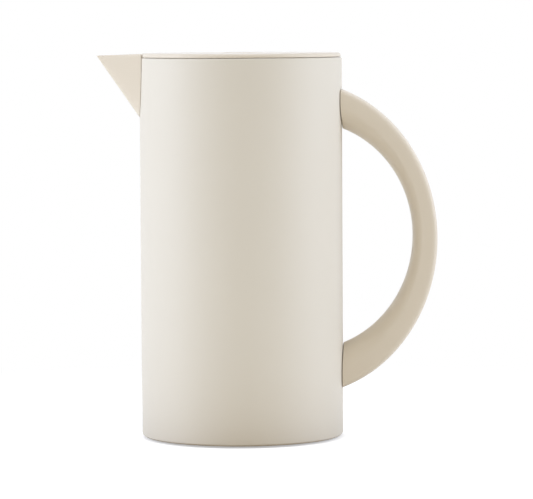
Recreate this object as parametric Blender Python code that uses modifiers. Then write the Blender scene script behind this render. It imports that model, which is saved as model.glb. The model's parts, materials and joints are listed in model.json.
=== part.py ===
"""Vacuum jug with a glass flask, a pointed spout and a crescent handle.

Metres, +Z up. The origin is on the jug's axis at the table. The spout points
along -X and the handle along +X. Each function below builds one named piece,
and main() puts them together.
"""

import math

import bmesh
import bpy
from mathutils import Matrix, Vector

# Clearances
GAP = 0.0003
RUNNING_GAP = 0.0004
OVERRUN = 0.003
MERGE_DISTANCE = 0.00001

# Outer casing: a thin painted steel tube with a rolled foot
BODY_RADIUS = 0.058
BODY_HEIGHT = 0.2183
CASING_WALL = 0.001
CASING_RIM_ROUND = 0.0004
FOOT_HEIGHT = 0.001
FOOT_ROUND = 0.0016
FOOT_LIP = 0.002

# Lid disc, which lies over the rim and is a little smaller than the body
LID_INSET = 0.0006
LID_THICKNESS = 0.0022
LID_SHADOW_GAP = 0.0005
LID_ROUND = 0.001
LID_SKIRT_WALL = 0.002
LID_SKIRT_DEPTH = 0.0022
LID_BOSS_WALL = 0.007
LID_BOSS_DEPTH = 0.0025

# Spout: a beak whose section is a round arch turned upside down
SPOUT_REACH = 0.0243
SPOUT_DEPTH = 0.0364
SPOUT_HALF_WIDTH = 0.0126
SPOUT_RISE = 0.0022
SPOUT_ROOT_INSET = 0.006
SPOUT_FLANGE_MARGIN = 0.003
SPOUT_FLANGE_THICKNESS = 0.0018
SPOUT_ARCH_SHARE = 0.87
SPOUT_SEAM = 0.0004
SPOUT_TIP_SHARE = 0.03
CHANNEL_WALL = 0.0021
CHANNEL_DEPTH = 0.0155
CHANNEL_TIP_SETBACK = 0.0004

# Pour collar: the ring, sloping floor and neck tube inside the rim
COLLAR_WALL = 0.004
COLLAR_FLOOR_THICKNESS = 0.0024
COLLAR_FLOOR_DEPTH = 0.0145
COLLAR_FLOOR_FALL = 0.006
COLLAR_ROUND = 0.0009
NECK_BORE_RADIUS = 0.024
NECK_TUBE_WALL = 0.003
NECK_TUBE_LENGTH = 0.0199

# Handle: a crescent between two ellipses, with a round nose and a flat back
HANDLE_ROOT_DROP = 0.0184
HANDLE_ROOT_HEIGHT = 0.0288
HANDLE_FINGER_GAP = 0.0405
HANDLE_GRIP_THICKNESS = 0.0138
HANDLE_END_THICKNESS = 0.0246
HANDLE_OUTER_INSET = 0.0255
HANDLE_INNER_INSET = 0.0208
HANDLE_INNER_RISE = 0.0013
HANDLE_HALF_WIDTH = 0.0142
HANDLE_NOSE_SHARE = 0.72
HANDLE_BACK_POWER = 3.6
HANDLE_END_SHARE = 0.867
SCREW_RADIUS = 0.0018
SCREW_HEAD_RADIUS = 0.0034
SCREW_HEAD_THICKNESS = 0.0015
SCREW_LENGTH = 0.011
SCREW_SPACING = 0.008
SCREW_PLACE_SHARE = 0.42
BRACKET_THICKNESS = 0.0014
BRACKET_WIDTH = 0.022
BRACKET_HEIGHT = 0.019
BRACKET_CORNER = 0.003

# Glass flask: two shells joined at the mouth, evacuated through the tip
FLASK_CLEARANCE = 0.0045
FLASK_GLASS = 0.0013
FLASK_VACUUM = 0.0039
FLASK_MOUTH_RADIUS = 0.022
FLASK_MOUTH_GAP = 0.0024
FLASK_NECK_LENGTH = 0.0085
FLASK_NECK_ROUND = 0.0025
FLASK_LIP_DEPTH = 0.0022
FLASK_LIP_ROUND = 0.0014
FLASK_SHOULDER_HEIGHT = 0.02
FLASK_DOME_HEIGHT = 0.024
FLASK_TIP_HOLE_RADIUS = 0.002
FLASK_TIP_RADIUS = 0.0032
FLASK_TIP_LENGTH = 0.0055
SPACER_RADIUS = 0.0035
SPACER_HEIGHT = 0.05
SPACER_SEAT = 0.0005
NECK_GASKET_THICKNESS = 0.002
NECK_GASKET_SKIRT = 0.0048
NECK_GASKET_WALL = 0.002

# Base: threaded ring, cap, cushion and pad
BASE_RING_WALL = 0.004
BASE_RING_HEIGHT = 0.0105
BASE_CAP_HUB_WALL = 0.003
BASE_CAP_HUB_HEIGHT = 0.010
BASE_CAP_FLOOR = 0.003
BASE_PAD_THICKNESS = 0.0015
BASE_PAD_MARGIN = 0.008
BASE_PAD_ROUND = 0.0004
CUSHION_RADIUS = 0.024
CUSHION_HOLE_RADIUS = 0.007
CUSHION_HEIGHT = 0.0101
CUSHION_RIM_WALL = 0.0022
CUSHION_RIM_HEIGHT = 0.0032

# Stopper: plug, button well, lid disc and gasket
PLUG_CLEARANCE = 0.0006
PLUG_WALL = 0.0028
PLUG_FLOOR = 0.0024
PLUG_LIFT = 0.0015
PLUG_ROUND = 0.0006
SEAT_RADIUS = 0.012
GASKET_GROOVE_HEIGHT = 0.0042
GASKET_GROOVE_DEPTH = 0.0014
GASKET_GROOVE_RISE = 0.005
GASKET_LIP = 0.0006
WINDOW_HALF_WIDTH = 0.011
WINDOW_HEIGHT = 0.0095
WINDOW_SILL = 0.0025
WINDOW_ROUND = 0.002
WELL_WALL = 0.0018
WELL_FLOOR = 0.003
WELL_FLANGE = 0.0022
WELL_SPIGOT_WALL = 0.0017
WELL_SPIGOT_LENGTH = 0.003
WELL_DEPTH = 0.015

# Push button, stem, valve and return spring
BUTTON_RADIUS = 0.0126
BUTTON_SINK = 0.0002
BUTTON_TOP = 0.002
BUTTON_WALL = 0.0016
BUTTON_SKIRT = 0.0109
BUTTON_ROUND = 0.0005
BUTTON_BOSS_WALL = 0.0018
BUTTON_BOSS_LENGTH = 0.007
STEM_RADIUS = 0.002
STEM_SEAL_WALL = 0.0019
STEM_SEAL_HEIGHT = 0.0016
VALVE_OVERLAP = 0.0038
VALVE_THICKNESS = 0.003
VALVE_SEAL_THICKNESS = 0.0015
VALVE_SEAL_WIDTH = 0.0028
VALVE_BOSS_WALL = 0.0022
VALVE_BOSS_HEIGHT = 0.006
VALVE_SOCKET_DEPTH = 0.001
SPRING_RADIUS = 0.0075
SPRING_WIRE_RADIUS = 0.00045

# Counts of facets and turns, and limits for the shading and the fillets
BODY_FACETS = 60
COLLAR_FACETS = 40
BASE_FACETS = 32
FLASK_FACETS = 24
PLUG_FACETS = 24
BUTTON_FACETS = 32
SMALL_FACETS = 16
SCREW_FACETS = 10
CORNER_STEPS = 2
DOME_STEPS = 5
SHOULDER_STEPS = 3
ARCH_STEPS = 6
HANDLE_SECTIONS = 27
HANDLE_SECTION_STEPS = 8
SPACER_COUNT = 3
SPRING_TURNS = 5
SPRING_POINTS_PER_TURN = 8
SHARP_ANGLE = math.radians(35)
FILLET_EDGE_SHARE = 0.48

# Radii worked out from the sizes above
CASING_BORE = BODY_RADIUS - CASING_WALL
CASING_LIP_RADIUS = CASING_BORE - FOOT_LIP
LID_RADIUS = BODY_RADIUS - LID_INSET
COLLAR_RADIUS = CASING_BORE - GAP
COLLAR_INNER_RADIUS = COLLAR_RADIUS - COLLAR_WALL
FLANGE_INNER_RADIUS = COLLAR_RADIUS - SPOUT_FLANGE_THICKNESS
NECK_TUBE_RADIUS = NECK_BORE_RADIUS + NECK_TUBE_WALL
FLASK_RADIUS = CASING_BORE - FLASK_CLEARANCE
FLASK_NECK_RADIUS = FLASK_MOUTH_RADIUS + 2 * FLASK_GLASS + FLASK_MOUTH_GAP
BASE_BORE = CASING_BORE - BASE_RING_WALL
PLUG_RADIUS = NECK_BORE_RADIUS - PLUG_CLEARANCE
PLUG_BORE = PLUG_RADIUS - PLUG_WALL
BUTTON_BORE = BUTTON_RADIUS + RUNNING_GAP
WELL_RADIUS = BUTTON_BORE + WELL_WALL
STEM_BORE = STEM_RADIUS + GAP
VALVE_RADIUS = SEAT_RADIUS + VALVE_OVERLAP
BRACKET_INNER_RADIUS = COLLAR_RADIUS - BRACKET_THICKNESS
SCREW_HEAD_X = BRACKET_INNER_RADIUS - GAP - SCREW_HEAD_THICKNESS
BASE_PAD_RADIUS = CASING_LIP_RADIUS - BASE_PAD_MARGIN

# Handle ellipses worked out from the sizes above
HANDLE_OUTER_CENTRE_X = BODY_RADIUS - HANDLE_OUTER_INSET
HANDLE_INNER_CENTRE_X = BODY_RADIUS - HANDLE_INNER_INSET
HANDLE_INNER_REACH = HANDLE_INNER_INSET + HANDLE_FINGER_GAP
HANDLE_OUTER_REACH = HANDLE_OUTER_INSET + HANDLE_FINGER_GAP + HANDLE_GRIP_THICKNESS
HANDLE_HALF_SPAN = (BODY_HEIGHT - HANDLE_ROOT_DROP - HANDLE_ROOT_HEIGHT) / 2
HANDLE_CENTRE_HEIGHT = HANDLE_ROOT_HEIGHT + HANDLE_HALF_SPAN
HANDLE_ROOT_SHARE = math.sqrt(1 - (HANDLE_OUTER_INSET / HANDLE_OUTER_REACH) ** 2)
HANDLE_OUTER_HALF_HEIGHT = HANDLE_HALF_SPAN / HANDLE_ROOT_SHARE
HANDLE_INNER_HALF_HEIGHT = HANDLE_OUTER_HALF_HEIGHT - HANDLE_END_THICKNESS

# Levels worked out from the sizes above, from the top down
LID_BOTTOM = BODY_HEIGHT + LID_SHADOW_GAP
LID_TOP = LID_BOTTOM + LID_THICKNESS
COLLAR_TOP = LID_BOTTOM - GAP
SPOUT_TOP = BODY_HEIGHT + SPOUT_RISE
COLLAR_FLOOR_EDGE = COLLAR_TOP - COLLAR_FLOOR_DEPTH
COLLAR_FLOOR_NECK = COLLAR_FLOOR_EDGE - COLLAR_FLOOR_FALL
NECK_TUBE_BOTTOM = COLLAR_FLOOR_NECK - NECK_TUBE_LENGTH
WELL_TOP = LID_BOTTOM - LID_BOSS_DEPTH - GAP
PLUG_TOP = WELL_TOP - WELL_FLANGE - GAP
PLUG_BOTTOM = NECK_TUBE_BOTTOM + PLUG_LIFT
WELL_INSIDE_FLOOR = LID_TOP - BUTTON_SINK - WELL_DEPTH - BUTTON_TOP
BUTTON_TOP_LEVEL = LID_TOP - BUTTON_SINK
BUTTON_CEILING = BUTTON_TOP_LEVEL - BUTTON_TOP
VALVE_SEAL_TOP = PLUG_BOTTOM - GAP
VALVE_TOP = VALVE_SEAL_TOP - VALVE_SEAL_THICKNESS - GAP
VALVE_BOTTOM = VALVE_TOP - VALVE_THICKNESS
VALVE_SOCKET_FLOOR = VALVE_TOP - VALVE_SOCKET_DEPTH
MOUTH_TOP = NECK_TUBE_BOTTOM - NECK_GASKET_THICKNESS - 2 * GAP
FLASK_NECK_FOOT = MOUTH_TOP - FLASK_NECK_LENGTH
FLASK_SHOULDER_FOOT = FLASK_NECK_FOOT - FLASK_SHOULDER_HEIGHT

# Levels of the base, from the table up
FOOT_TOP = FOOT_HEIGHT + CASING_WALL
BASE_CAP_CEILING = BASE_PAD_THICKNESS + GAP
BASE_CAP_FLOOR_TOP = BASE_CAP_CEILING + BASE_CAP_FLOOR
FLASK_BOTTOM = BASE_CAP_FLOOR_TOP + CUSHION_HEIGHT
FLASK_DOME_TOP = FLASK_BOTTOM + FLASK_DOME_HEIGHT


def new_collection(name):
    """Add an empty collection to the scene."""
    collection = bpy.data.collections.new(name)
    bpy.context.scene.collection.children.link(collection)
    return collection


def new_material(name, colour, roughness, metallic):
    """A Principled BSDF material."""
    material = bpy.data.materials.new(name)
    material.use_nodes = True
    shader = material.node_tree.nodes["Principled BSDF"]
    shader.inputs["Base Color"].default_value = (*colour, 1.0)
    shader.inputs["Roughness"].default_value = roughness
    shader.inputs["Metallic"].default_value = metallic
    return material


def place(name, mesh, collection, material=None):
    """Link a mesh as a named object, smooth except at its sharp edges."""
    mesh.shade_smooth()
    mesh.set_sharp_from_angle(angle=SHARP_ANGLE)
    piece = bpy.data.objects.new(name, mesh)
    collection.objects.link(piece)
    if material is not None:
        mesh.materials.append(material)
    else:
        piece.hide_render = True
        piece.display_type = "WIRE"
    return piece


def rounded(corners):
    """Outline through (radius, height) corners; a third value rounds a corner."""
    points = []
    count = len(corners)
    for index, corner in enumerate(corners):
        here = Vector(corner[:2])
        fillet = corner[2] if len(corner) > 2 else 0
        if not fillet:
            points.append(here)
            continue
        back = Vector(corners[index - 1][:2]) - here
        ahead = Vector(corners[(index + 1) % count][:2]) - here
        half_angle = back.angle(ahead) / 2
        longest = FILLET_EDGE_SHARE * min(back.length, ahead.length)
        tangent = min(fillet / math.tan(half_angle), longest)
        radius = tangent * math.tan(half_angle)
        middle = (back.normalized() + ahead.normalized()).normalized()
        centre = here + middle * radius / math.sin(half_angle)
        start = here + back.normalized() * tangent - centre
        end = here + ahead.normalized() * tangent - centre
        sweep = start.angle_signed(end)
        for step in range(CORNER_STEPS + 1):
            turn = Matrix.Rotation(-sweep * step / CORNER_STEPS, 2)
            points.append(centre + turn @ start)
    return points


def turned(name, outline, facets, collection, material=None):
    """Turn a closed outline about the axis with a Screw modifier."""
    shape = bmesh.new()
    ring = [shape.verts.new((max(radius, 0), 0, height)) for radius, height in outline]
    for first, second in zip(ring, ring[1:] + ring[:1]):
        if first.co.x > 0 or second.co.x > 0:
            shape.edges.new((first, second))
    mesh = bpy.data.meshes.new(name)
    shape.to_mesh(mesh)
    shape.free()
    piece = place(name, mesh, collection, material)
    screw = piece.modifiers.new("turn", "SCREW")
    screw.angle = 2 * math.pi
    screw.steps = facets
    screw.render_steps = facets
    screw.use_merge_vertices = True
    screw.merge_threshold = MERGE_DISTANCE
    screw.use_smooth_shade = True
    return piece


def lofted(name, rings, collection, material=None):
    """Join closed rings of equal count into a solid with flat ends."""
    shape = bmesh.new()
    loops = [[shape.verts.new(point) for point in ring] for ring in rings]
    for near, far in zip(loops, loops[1:]):
        for index in range(len(near)):
            following = (index + 1) % len(near)
            shape.faces.new((near[index], near[following], far[following], far[index]))
    shape.faces.new(loops[0])
    shape.faces.new(loops[-1])
    bmesh.ops.recalc_face_normals(shape, faces=shape.faces)
    mesh = bpy.data.meshes.new(name)
    shape.to_mesh(mesh)
    shape.free()
    return place(name, mesh, collection, material)


def rod(name, radius, start, end, facets, collection, material=None):
    """A cylinder between two points."""
    start = Vector(start)
    along = Vector(end) - start
    shape = bmesh.new()
    bmesh.ops.create_cone(
        shape, cap_ends=True, segments=facets, radius1=radius, radius2=radius, depth=along.length
    )
    turn = along.to_track_quat("Z", "Y").to_matrix().to_4x4()
    shape.transform(Matrix.Translation(start + along / 2) @ turn)
    mesh = bpy.data.meshes.new(name)
    shape.to_mesh(mesh)
    shape.free()
    return place(name, mesh, collection, material)


def block(name, low, high, collection, bevel=0):
    """A box between two corners, with its edges rounded by a Bevel modifier."""
    low = Vector(low)
    high = Vector(high)
    shape = bmesh.new()
    bmesh.ops.create_cube(shape, size=1)
    size = Matrix.Diagonal((*(high - low), 1))
    shape.transform(Matrix.Translation((low + high) / 2) @ size)
    mesh = bpy.data.meshes.new(name)
    shape.to_mesh(mesh)
    shape.free()
    piece = place(name, mesh, collection)
    if bevel:
        edges = piece.modifiers.new("round", "BEVEL")
        edges.width = bevel
        edges.segments = CORNER_STEPS
    return piece


def combine(piece, other, operation):
    """Add an exact Boolean of another object to a piece."""
    boolean = piece.modifiers.new(operation.lower(), "BOOLEAN")
    boolean.operation = operation
    boolean.solver = "EXACT"
    boolean.object = other


def hanging_arch(x, half_width, depth, spring_level, top_level):
    """Round arch hung upside down from its spring level, closed at the top."""
    ring = []
    for step in range(2 * ARCH_STEPS + 1):
        turn = math.pi * step / (2 * ARCH_STEPS)
        width = half_width * abs(math.cos(turn)) ** SPOUT_ARCH_SHARE
        across = -math.copysign(width, math.cos(turn))
        ring.append(Vector((x, across, spring_level - depth * math.sin(turn))))
    if top_level > spring_level:
        ring.append(Vector((x, half_width, top_level)))
        ring.append(Vector((x, -half_width, top_level)))
    return ring


def beak(name, grow, root_radius, tip_radius, top_level, collection, material=None):
    """The spout's outer form, grown on all sides, between two radii."""
    rings = []
    for radius in (root_radius, BODY_RADIUS, tip_radius):
        share = 1 - (radius - BODY_RADIUS) * (1 - SPOUT_TIP_SHARE) / SPOUT_REACH
        half_width = SPOUT_HALF_WIDTH * share + grow
        depth = SPOUT_DEPTH * share + grow
        rings.append(hanging_arch(-radius, half_width, depth, SPOUT_TOP, top_level))
    return lofted(name, rings, collection, material)


def channel_cutter(collection):
    """The pouring channel, level inside the casing and rising to the tip."""
    half_width = SPOUT_HALF_WIDTH - CHANNEL_WALL
    top_level = SPOUT_TOP + OVERRUN
    tip_radius = BODY_RADIUS + SPOUT_REACH - CHANNEL_TIP_SETBACK
    rings = []
    for radius, share in (
        (COLLAR_INNER_RADIUS - OVERRUN, 1),
        (BODY_RADIUS, 1),
        (tip_radius, SPOUT_TIP_SHARE),
    ):
        ring = hanging_arch(-radius, half_width * share, CHANNEL_DEPTH * share, SPOUT_TOP, top_level)
        rings.append(ring)
    return lofted("channel_cutter", rings, collection)


def flange(name, grow, inner_radius, outer_radius, collection):
    """Curved plate behind the casing's notch, of the beak's outline grown."""
    bottom = SPOUT_TOP - SPOUT_DEPTH - 2 * SPOUT_FLANGE_MARGIN - OVERRUN
    top = SPOUT_TOP + OVERRUN
    corners = [
        (outer_radius, top),
        (outer_radius, bottom),
        (inner_radius, bottom),
        (inner_radius, top),
    ]
    plate = turned(name, corners, BODY_FACETS, collection)
    deep_radius = inner_radius - 2 * OVERRUN
    outline = beak(name + "_outline", grow, deep_radius, BODY_RADIUS + OVERRUN, top + OVERRUN, collection)
    combine(plate, outline, "INTERSECT")
    return plate


def outer_casing(parts, material, notch, screw_holes):
    """Steel tube with a rolled foot, a notch for the beak and screw holes."""
    outline = rounded([
        (BODY_RADIUS, BODY_HEIGHT, CASING_RIM_ROUND),
        (BODY_RADIUS, FOOT_HEIGHT, FOOT_ROUND),
        (CASING_LIP_RADIUS, FOOT_HEIGHT),
        (CASING_LIP_RADIUS, FOOT_TOP),
        (CASING_BORE, FOOT_TOP, FOOT_ROUND - CASING_WALL),
        (CASING_BORE, BODY_HEIGHT),
    ])
    piece = turned("outer_casing", outline, BODY_FACETS, parts, material)
    combine(piece, notch, "DIFFERENCE")
    for hole in screw_holes:
        combine(piece, hole, "DIFFERENCE")
    return piece


def spout(parts, cutters, material, channel):
    """Beak with a flange behind the casing and a pouring channel on top."""
    piece = beak(
        "spout", 0, BODY_RADIUS - SPOUT_ROOT_INSET, BODY_RADIUS + SPOUT_REACH, SPOUT_TOP, parts, material
    )
    low = SPOUT_TOP - 2 * SPOUT_DEPTH
    high = SPOUT_TOP + 3 * OVERRUN
    plate = flange(
        "spout_flange", SPOUT_FLANGE_MARGIN, FLANGE_INNER_RADIUS - OVERRUN, COLLAR_RADIUS, cutters
    )
    core = solid_cylinder("spout_core_cutter", FLANGE_INNER_RADIUS, low, high, cutters)
    lid_room = solid_cylinder("spout_lid_cutter", LID_RADIUS + RUNNING_GAP, COLLAR_TOP, high, cutters)
    combine(piece, plate, "UNION")
    combine(piece, core, "DIFFERENCE")
    combine(piece, lid_room, "DIFFERENCE")
    combine(piece, channel, "DIFFERENCE")
    return piece


def solid_cylinder(name, radius, bottom, top, collection):
    """A turned cylinder on the jug's axis, used as a cutter."""
    corners = [(0, top), (radius, top), (radius, bottom), (0, bottom)]
    return turned(name, corners, BODY_FACETS, collection)


def pour_collar(parts, cutters, material, channel):
    """Ring, sloping floor and neck tube, pocketed for the spout's flange."""
    floor_under_edge = COLLAR_FLOOR_EDGE - COLLAR_FLOOR_THICKNESS
    floor_slope = COLLAR_FLOOR_FALL / (COLLAR_INNER_RADIUS - NECK_BORE_RADIUS)
    floor_under_neck = floor_under_edge - floor_slope * (COLLAR_INNER_RADIUS - NECK_TUBE_RADIUS)
    outline = rounded([
        (COLLAR_RADIUS, COLLAR_TOP, COLLAR_ROUND),
        (COLLAR_RADIUS, floor_under_edge),
        (COLLAR_INNER_RADIUS, floor_under_edge),
        (NECK_TUBE_RADIUS, floor_under_neck, COLLAR_ROUND),
        (NECK_TUBE_RADIUS, NECK_TUBE_BOTTOM),
        (NECK_BORE_RADIUS, NECK_TUBE_BOTTOM),
        (NECK_BORE_RADIUS, COLLAR_FLOOR_NECK, COLLAR_ROUND),
        (COLLAR_INNER_RADIUS, COLLAR_FLOOR_EDGE, COLLAR_ROUND),
        (COLLAR_INNER_RADIUS, COLLAR_TOP),
    ])
    piece = turned("pour_collar", outline, COLLAR_FACETS, parts, material)
    pocket = flange(
        "collar_pocket_cutter",
        SPOUT_FLANGE_MARGIN + GAP,
        FLANGE_INNER_RADIUS - GAP,
        COLLAR_RADIUS + OVERRUN,
        cutters,
    )
    combine(piece, pocket, "DIFFERENCE")
    combine(piece, channel, "DIFFERENCE")
    return piece


def handle_point(turn, outer):
    """Point of the handle's outer or inner ellipse, as (x, z)."""
    if outer:
        x = HANDLE_OUTER_CENTRE_X + HANDLE_OUTER_REACH * math.cos(turn)
        return Vector((x, HANDLE_CENTRE_HEIGHT + HANDLE_OUTER_HALF_HEIGHT * math.sin(turn)))
    x = HANDLE_INNER_CENTRE_X + HANDLE_INNER_REACH * math.cos(turn)
    middle = HANDLE_CENTRE_HEIGHT + HANDLE_INNER_RISE
    return Vector((x, middle + HANDLE_INNER_HALF_HEIGHT * math.sin(turn)))


def grip_width(share):
    """Half width of the handle at a share of the way from inner to outer edge."""
    if share < HANDLE_NOSE_SHARE:
        return HANDLE_HALF_WIDTH * math.sqrt(1 - (1 - share / HANDLE_NOSE_SHARE) ** 2)
    back = (share - HANDLE_NOSE_SHARE) / (1 - HANDLE_NOSE_SHARE)
    return HANDLE_HALF_WIDTH * (1 - back**HANDLE_BACK_POWER) ** (1 / HANDLE_BACK_POWER)


def handle_section(turn):
    """Closed section across the handle at an angle of its arc."""
    inner = handle_point(turn, False)
    across = handle_point(turn, True) - inner
    ring = []
    for step in range(2 * HANDLE_SECTION_STEPS):
        angle = math.pi * step / HANDLE_SECTION_STEPS
        share = (1 - math.cos(angle)) / 2
        side = math.copysign(grip_width(share), math.sin(angle)) if step % HANDLE_SECTION_STEPS else 0
        place_on_line = inner + across * share
        ring.append(Vector((place_on_line.x, side, place_on_line.y)))
    return ring


def handle(parts, cutters, material, screw_holes):
    """Crescent grip whose ends are cut to the round of the casing."""
    end_turn = HANDLE_END_SHARE * math.pi / 2
    rings = []
    for step in range(HANDLE_SECTIONS):
        rings.append(handle_section(end_turn * (1 - 2 * step / (HANDLE_SECTIONS - 1))))
    piece = lofted("handle", rings, parts, material)
    seat = solid_cylinder("handle_seat_cutter", BODY_RADIUS + GAP, -OVERRUN, LID_TOP + OVERRUN, cutters)
    combine(piece, seat, "DIFFERENCE")
    for hole in screw_holes:
        combine(piece, hole, "DIFFERENCE")
    return piece


def handle_end_level(sign):
    """Height of the middle of a screw pair, above (+1) or below (-1) centre."""
    outer_turn = math.acos((BODY_RADIUS - HANDLE_OUTER_CENTRE_X) / HANDLE_OUTER_REACH)
    inner_turn = math.acos((BODY_RADIUS - HANDLE_INNER_CENTRE_X) / HANDLE_INNER_REACH)
    outer = handle_point(sign * outer_turn, True).y
    inner = handle_point(sign * inner_turn, False).y
    return inner + (outer - inner) * SCREW_PLACE_SHARE


def screw_levels():
    """Heights of the handle's screws, from the top down."""
    levels = []
    for sign in (1, -1):
        middle = handle_end_level(sign)
        levels += [middle + SCREW_SPACING / 2, middle - SCREW_SPACING / 2]
    return levels


def handle_screw(index, level, parts, material):
    """Pan-head screw from inside the casing into the handle."""
    outline = rounded([
        (0, SCREW_HEAD_THICKNESS + SCREW_LENGTH),
        (SCREW_RADIUS, SCREW_HEAD_THICKNESS + SCREW_LENGTH),
        (SCREW_RADIUS, SCREW_HEAD_THICKNESS),
        (SCREW_HEAD_RADIUS, SCREW_HEAD_THICKNESS),
        (SCREW_HEAD_RADIUS, 0, SCREW_HEAD_THICKNESS / 2),
        (0, 0),
    ])
    piece = turned(f"handle_screw_{index}", outline, SCREW_FACETS, parts, material)
    piece.location = (SCREW_HEAD_X, 0, level)
    piece.rotation_euler = (0, math.pi / 2, 0)
    return piece


def screw_hole(index, level, cutters):
    """Clearance for one screw through bracket, casing and handle."""
    start = (SCREW_HEAD_X - OVERRUN, 0, level)
    end = (SCREW_HEAD_X + SCREW_HEAD_THICKNESS + SCREW_LENGTH + GAP, 0, level)
    return rod(f"screw_hole_cutter_{index}", SCREW_RADIUS + GAP, start, end, SCREW_FACETS, cutters)


def handle_bracket(name, middle, parts, cutters, material, screw_holes):
    """Curved steel plate inside the casing that the screws pull against."""
    low = middle - BRACKET_HEIGHT / 2
    high = middle + BRACKET_HEIGHT / 2
    corners = [
        (COLLAR_RADIUS, high + OVERRUN),
        (COLLAR_RADIUS, low - OVERRUN),
        (BRACKET_INNER_RADIUS, low - OVERRUN),
        (BRACKET_INNER_RADIUS, high + OVERRUN),
    ]
    piece = turned(name, corners, BODY_FACETS, parts, material)
    sheet = block(
        name + "_outline",
        (BRACKET_INNER_RADIUS - BRACKET_WIDTH, -BRACKET_WIDTH / 2, low),
        (COLLAR_RADIUS + BRACKET_WIDTH, BRACKET_WIDTH / 2, high),
        cutters,
        BRACKET_CORNER,
    )
    combine(piece, sheet, "INTERSECT")
    for hole in screw_holes:
        combine(piece, hole, "DIFFERENCE")
    return piece


def flask_surface(inset, neck_inset, end_radius):
    """One glass surface from the neck's foot down to the middle of the dome."""
    neck = FLASK_NECK_RADIUS - neck_inset
    body = FLASK_RADIUS - inset
    shoulder_top = FLASK_NECK_FOOT - inset
    start = neck + FLASK_NECK_ROUND
    points = []
    for step in range(CORNER_STEPS):
        turn = math.pi / 2 * step / CORNER_STEPS
        radius = start - FLASK_NECK_ROUND * math.cos(turn)
        points.append((radius, shoulder_top + FLASK_NECK_ROUND * (1 - math.sin(turn))))
    for step in range(SHOULDER_STEPS + 1):
        turn = math.pi / 2 * step / SHOULDER_STEPS
        drop = (shoulder_top - FLASK_SHOULDER_FOOT) * math.cos(turn)
        points.append((start + (body - start) * math.sin(turn), FLASK_SHOULDER_FOOT + drop))
    depth = FLASK_DOME_TOP - FLASK_BOTTOM - inset
    end_turn = math.acos(end_radius / body)
    for step in range(DOME_STEPS + 1):
        turn = end_turn * step / DOME_STEPS
        radius = body * math.cos(turn) if step < DOME_STEPS else end_radius
        points.append((radius, FLASK_DOME_TOP - depth * math.sin(turn)))
    return points


def flask(parts, material):
    """Double-walled glass flask, open at the hole where its tip is drawn."""
    inner_inset = FLASK_GLASS + FLASK_VACUUM
    vacuum_top = MOUTH_TOP - FLASK_LIP_DEPTH
    outside = flask_surface(0, 0, FLASK_TIP_HOLE_RADIUS)
    outside_vacuum = flask_surface(FLASK_GLASS, FLASK_GLASS, FLASK_TIP_HOLE_RADIUS)
    inside_vacuum = flask_surface(inner_inset, FLASK_GLASS + FLASK_MOUTH_GAP, 0)
    inside = flask_surface(inner_inset + FLASK_GLASS, 2 * FLASK_GLASS + FLASK_MOUTH_GAP, 0)
    outline = [(FLASK_NECK_RADIUS, MOUTH_TOP, FLASK_LIP_ROUND)]
    outline += outside
    outline += reversed(outside_vacuum)
    outline += [(FLASK_NECK_RADIUS - FLASK_GLASS, vacuum_top)]
    outline += [(FLASK_MOUTH_RADIUS + FLASK_GLASS, vacuum_top)]
    outline += inside_vacuum
    outline += reversed(inside)
    outline += [(FLASK_MOUTH_RADIUS, MOUTH_TOP, FLASK_LIP_ROUND)]
    return turned("flask", rounded(outline), FLASK_FACETS, parts, material)


def flask_tip(parts, material):
    """Drop of glass that closes the flask after it is evacuated."""
    top = FLASK_BOTTOM - GAP
    outline = rounded([
        (0, top),
        (FLASK_TIP_RADIUS, top, FLASK_TIP_RADIUS / 2),
        (FLASK_TIP_RADIUS / 2, top - FLASK_TIP_LENGTH, FLASK_TIP_RADIUS / 4),
        (0, top - FLASK_TIP_LENGTH),
    ])
    return turned("flask_tip", outline, SMALL_FACETS, parts, material)


def flask_spacer(index, parts, material):
    """Pad that keeps the two glass shells apart near the bottom."""
    turn = 2 * math.pi * (index - 0.5) / SPACER_COUNT
    inner = FLASK_RADIUS - FLASK_GLASS - FLASK_VACUUM + SPACER_SEAT
    outer = FLASK_RADIUS - FLASK_GLASS - SPACER_SEAT
    direction = Vector((math.cos(turn), math.sin(turn), 0))
    start = direction * inner + Vector((0, 0, SPACER_HEIGHT))
    end = direction * outer + Vector((0, 0, SPACER_HEIGHT))
    return rod(f"flask_spacer_{index}", SPACER_RADIUS, start, end, SCREW_FACETS, parts, material)


def neck_gasket(parts, material):
    """Soft ring between the flask's mouth and the collar's neck tube."""
    outer = FLASK_NECK_RADIUS + GAP + NECK_GASKET_WALL
    top = NECK_TUBE_BOTTOM - GAP
    seat = MOUTH_TOP + GAP
    outline = rounded([
        (outer, top, GAP),
        (outer, seat - NECK_GASKET_SKIRT),
        (FLASK_NECK_RADIUS + GAP, seat - NECK_GASKET_SKIRT),
        (FLASK_NECK_RADIUS + GAP, seat),
        (FLASK_MOUTH_RADIUS + GAP, seat),
        (FLASK_MOUTH_RADIUS + GAP, top),
    ])
    return turned("neck_gasket", outline, FLASK_FACETS, parts, material)


def dome_level(radius):
    """Height of the outside of the flask's dome at a radius."""
    fall = FLASK_DOME_HEIGHT * math.sqrt(1 - (radius / FLASK_RADIUS) ** 2)
    return FLASK_DOME_TOP - fall


def flask_cushion(parts, material):
    """Rubber cup that carries the flask's dome and guards its tip."""
    middle = (CUSHION_RADIUS + CUSHION_HOLE_RADIUS) / 2
    outline = [
        (CUSHION_RADIUS, dome_level(CUSHION_RADIUS) - GAP),
        (CUSHION_RADIUS, BASE_CAP_FLOOR_TOP + GAP),
        (CUSHION_HOLE_RADIUS, BASE_CAP_FLOOR_TOP + GAP),
        (CUSHION_HOLE_RADIUS, dome_level(CUSHION_HOLE_RADIUS) - GAP),
        (middle, dome_level(middle) - GAP),
    ]
    return turned("flask_cushion", outline, FLASK_FACETS, parts, material)


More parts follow.
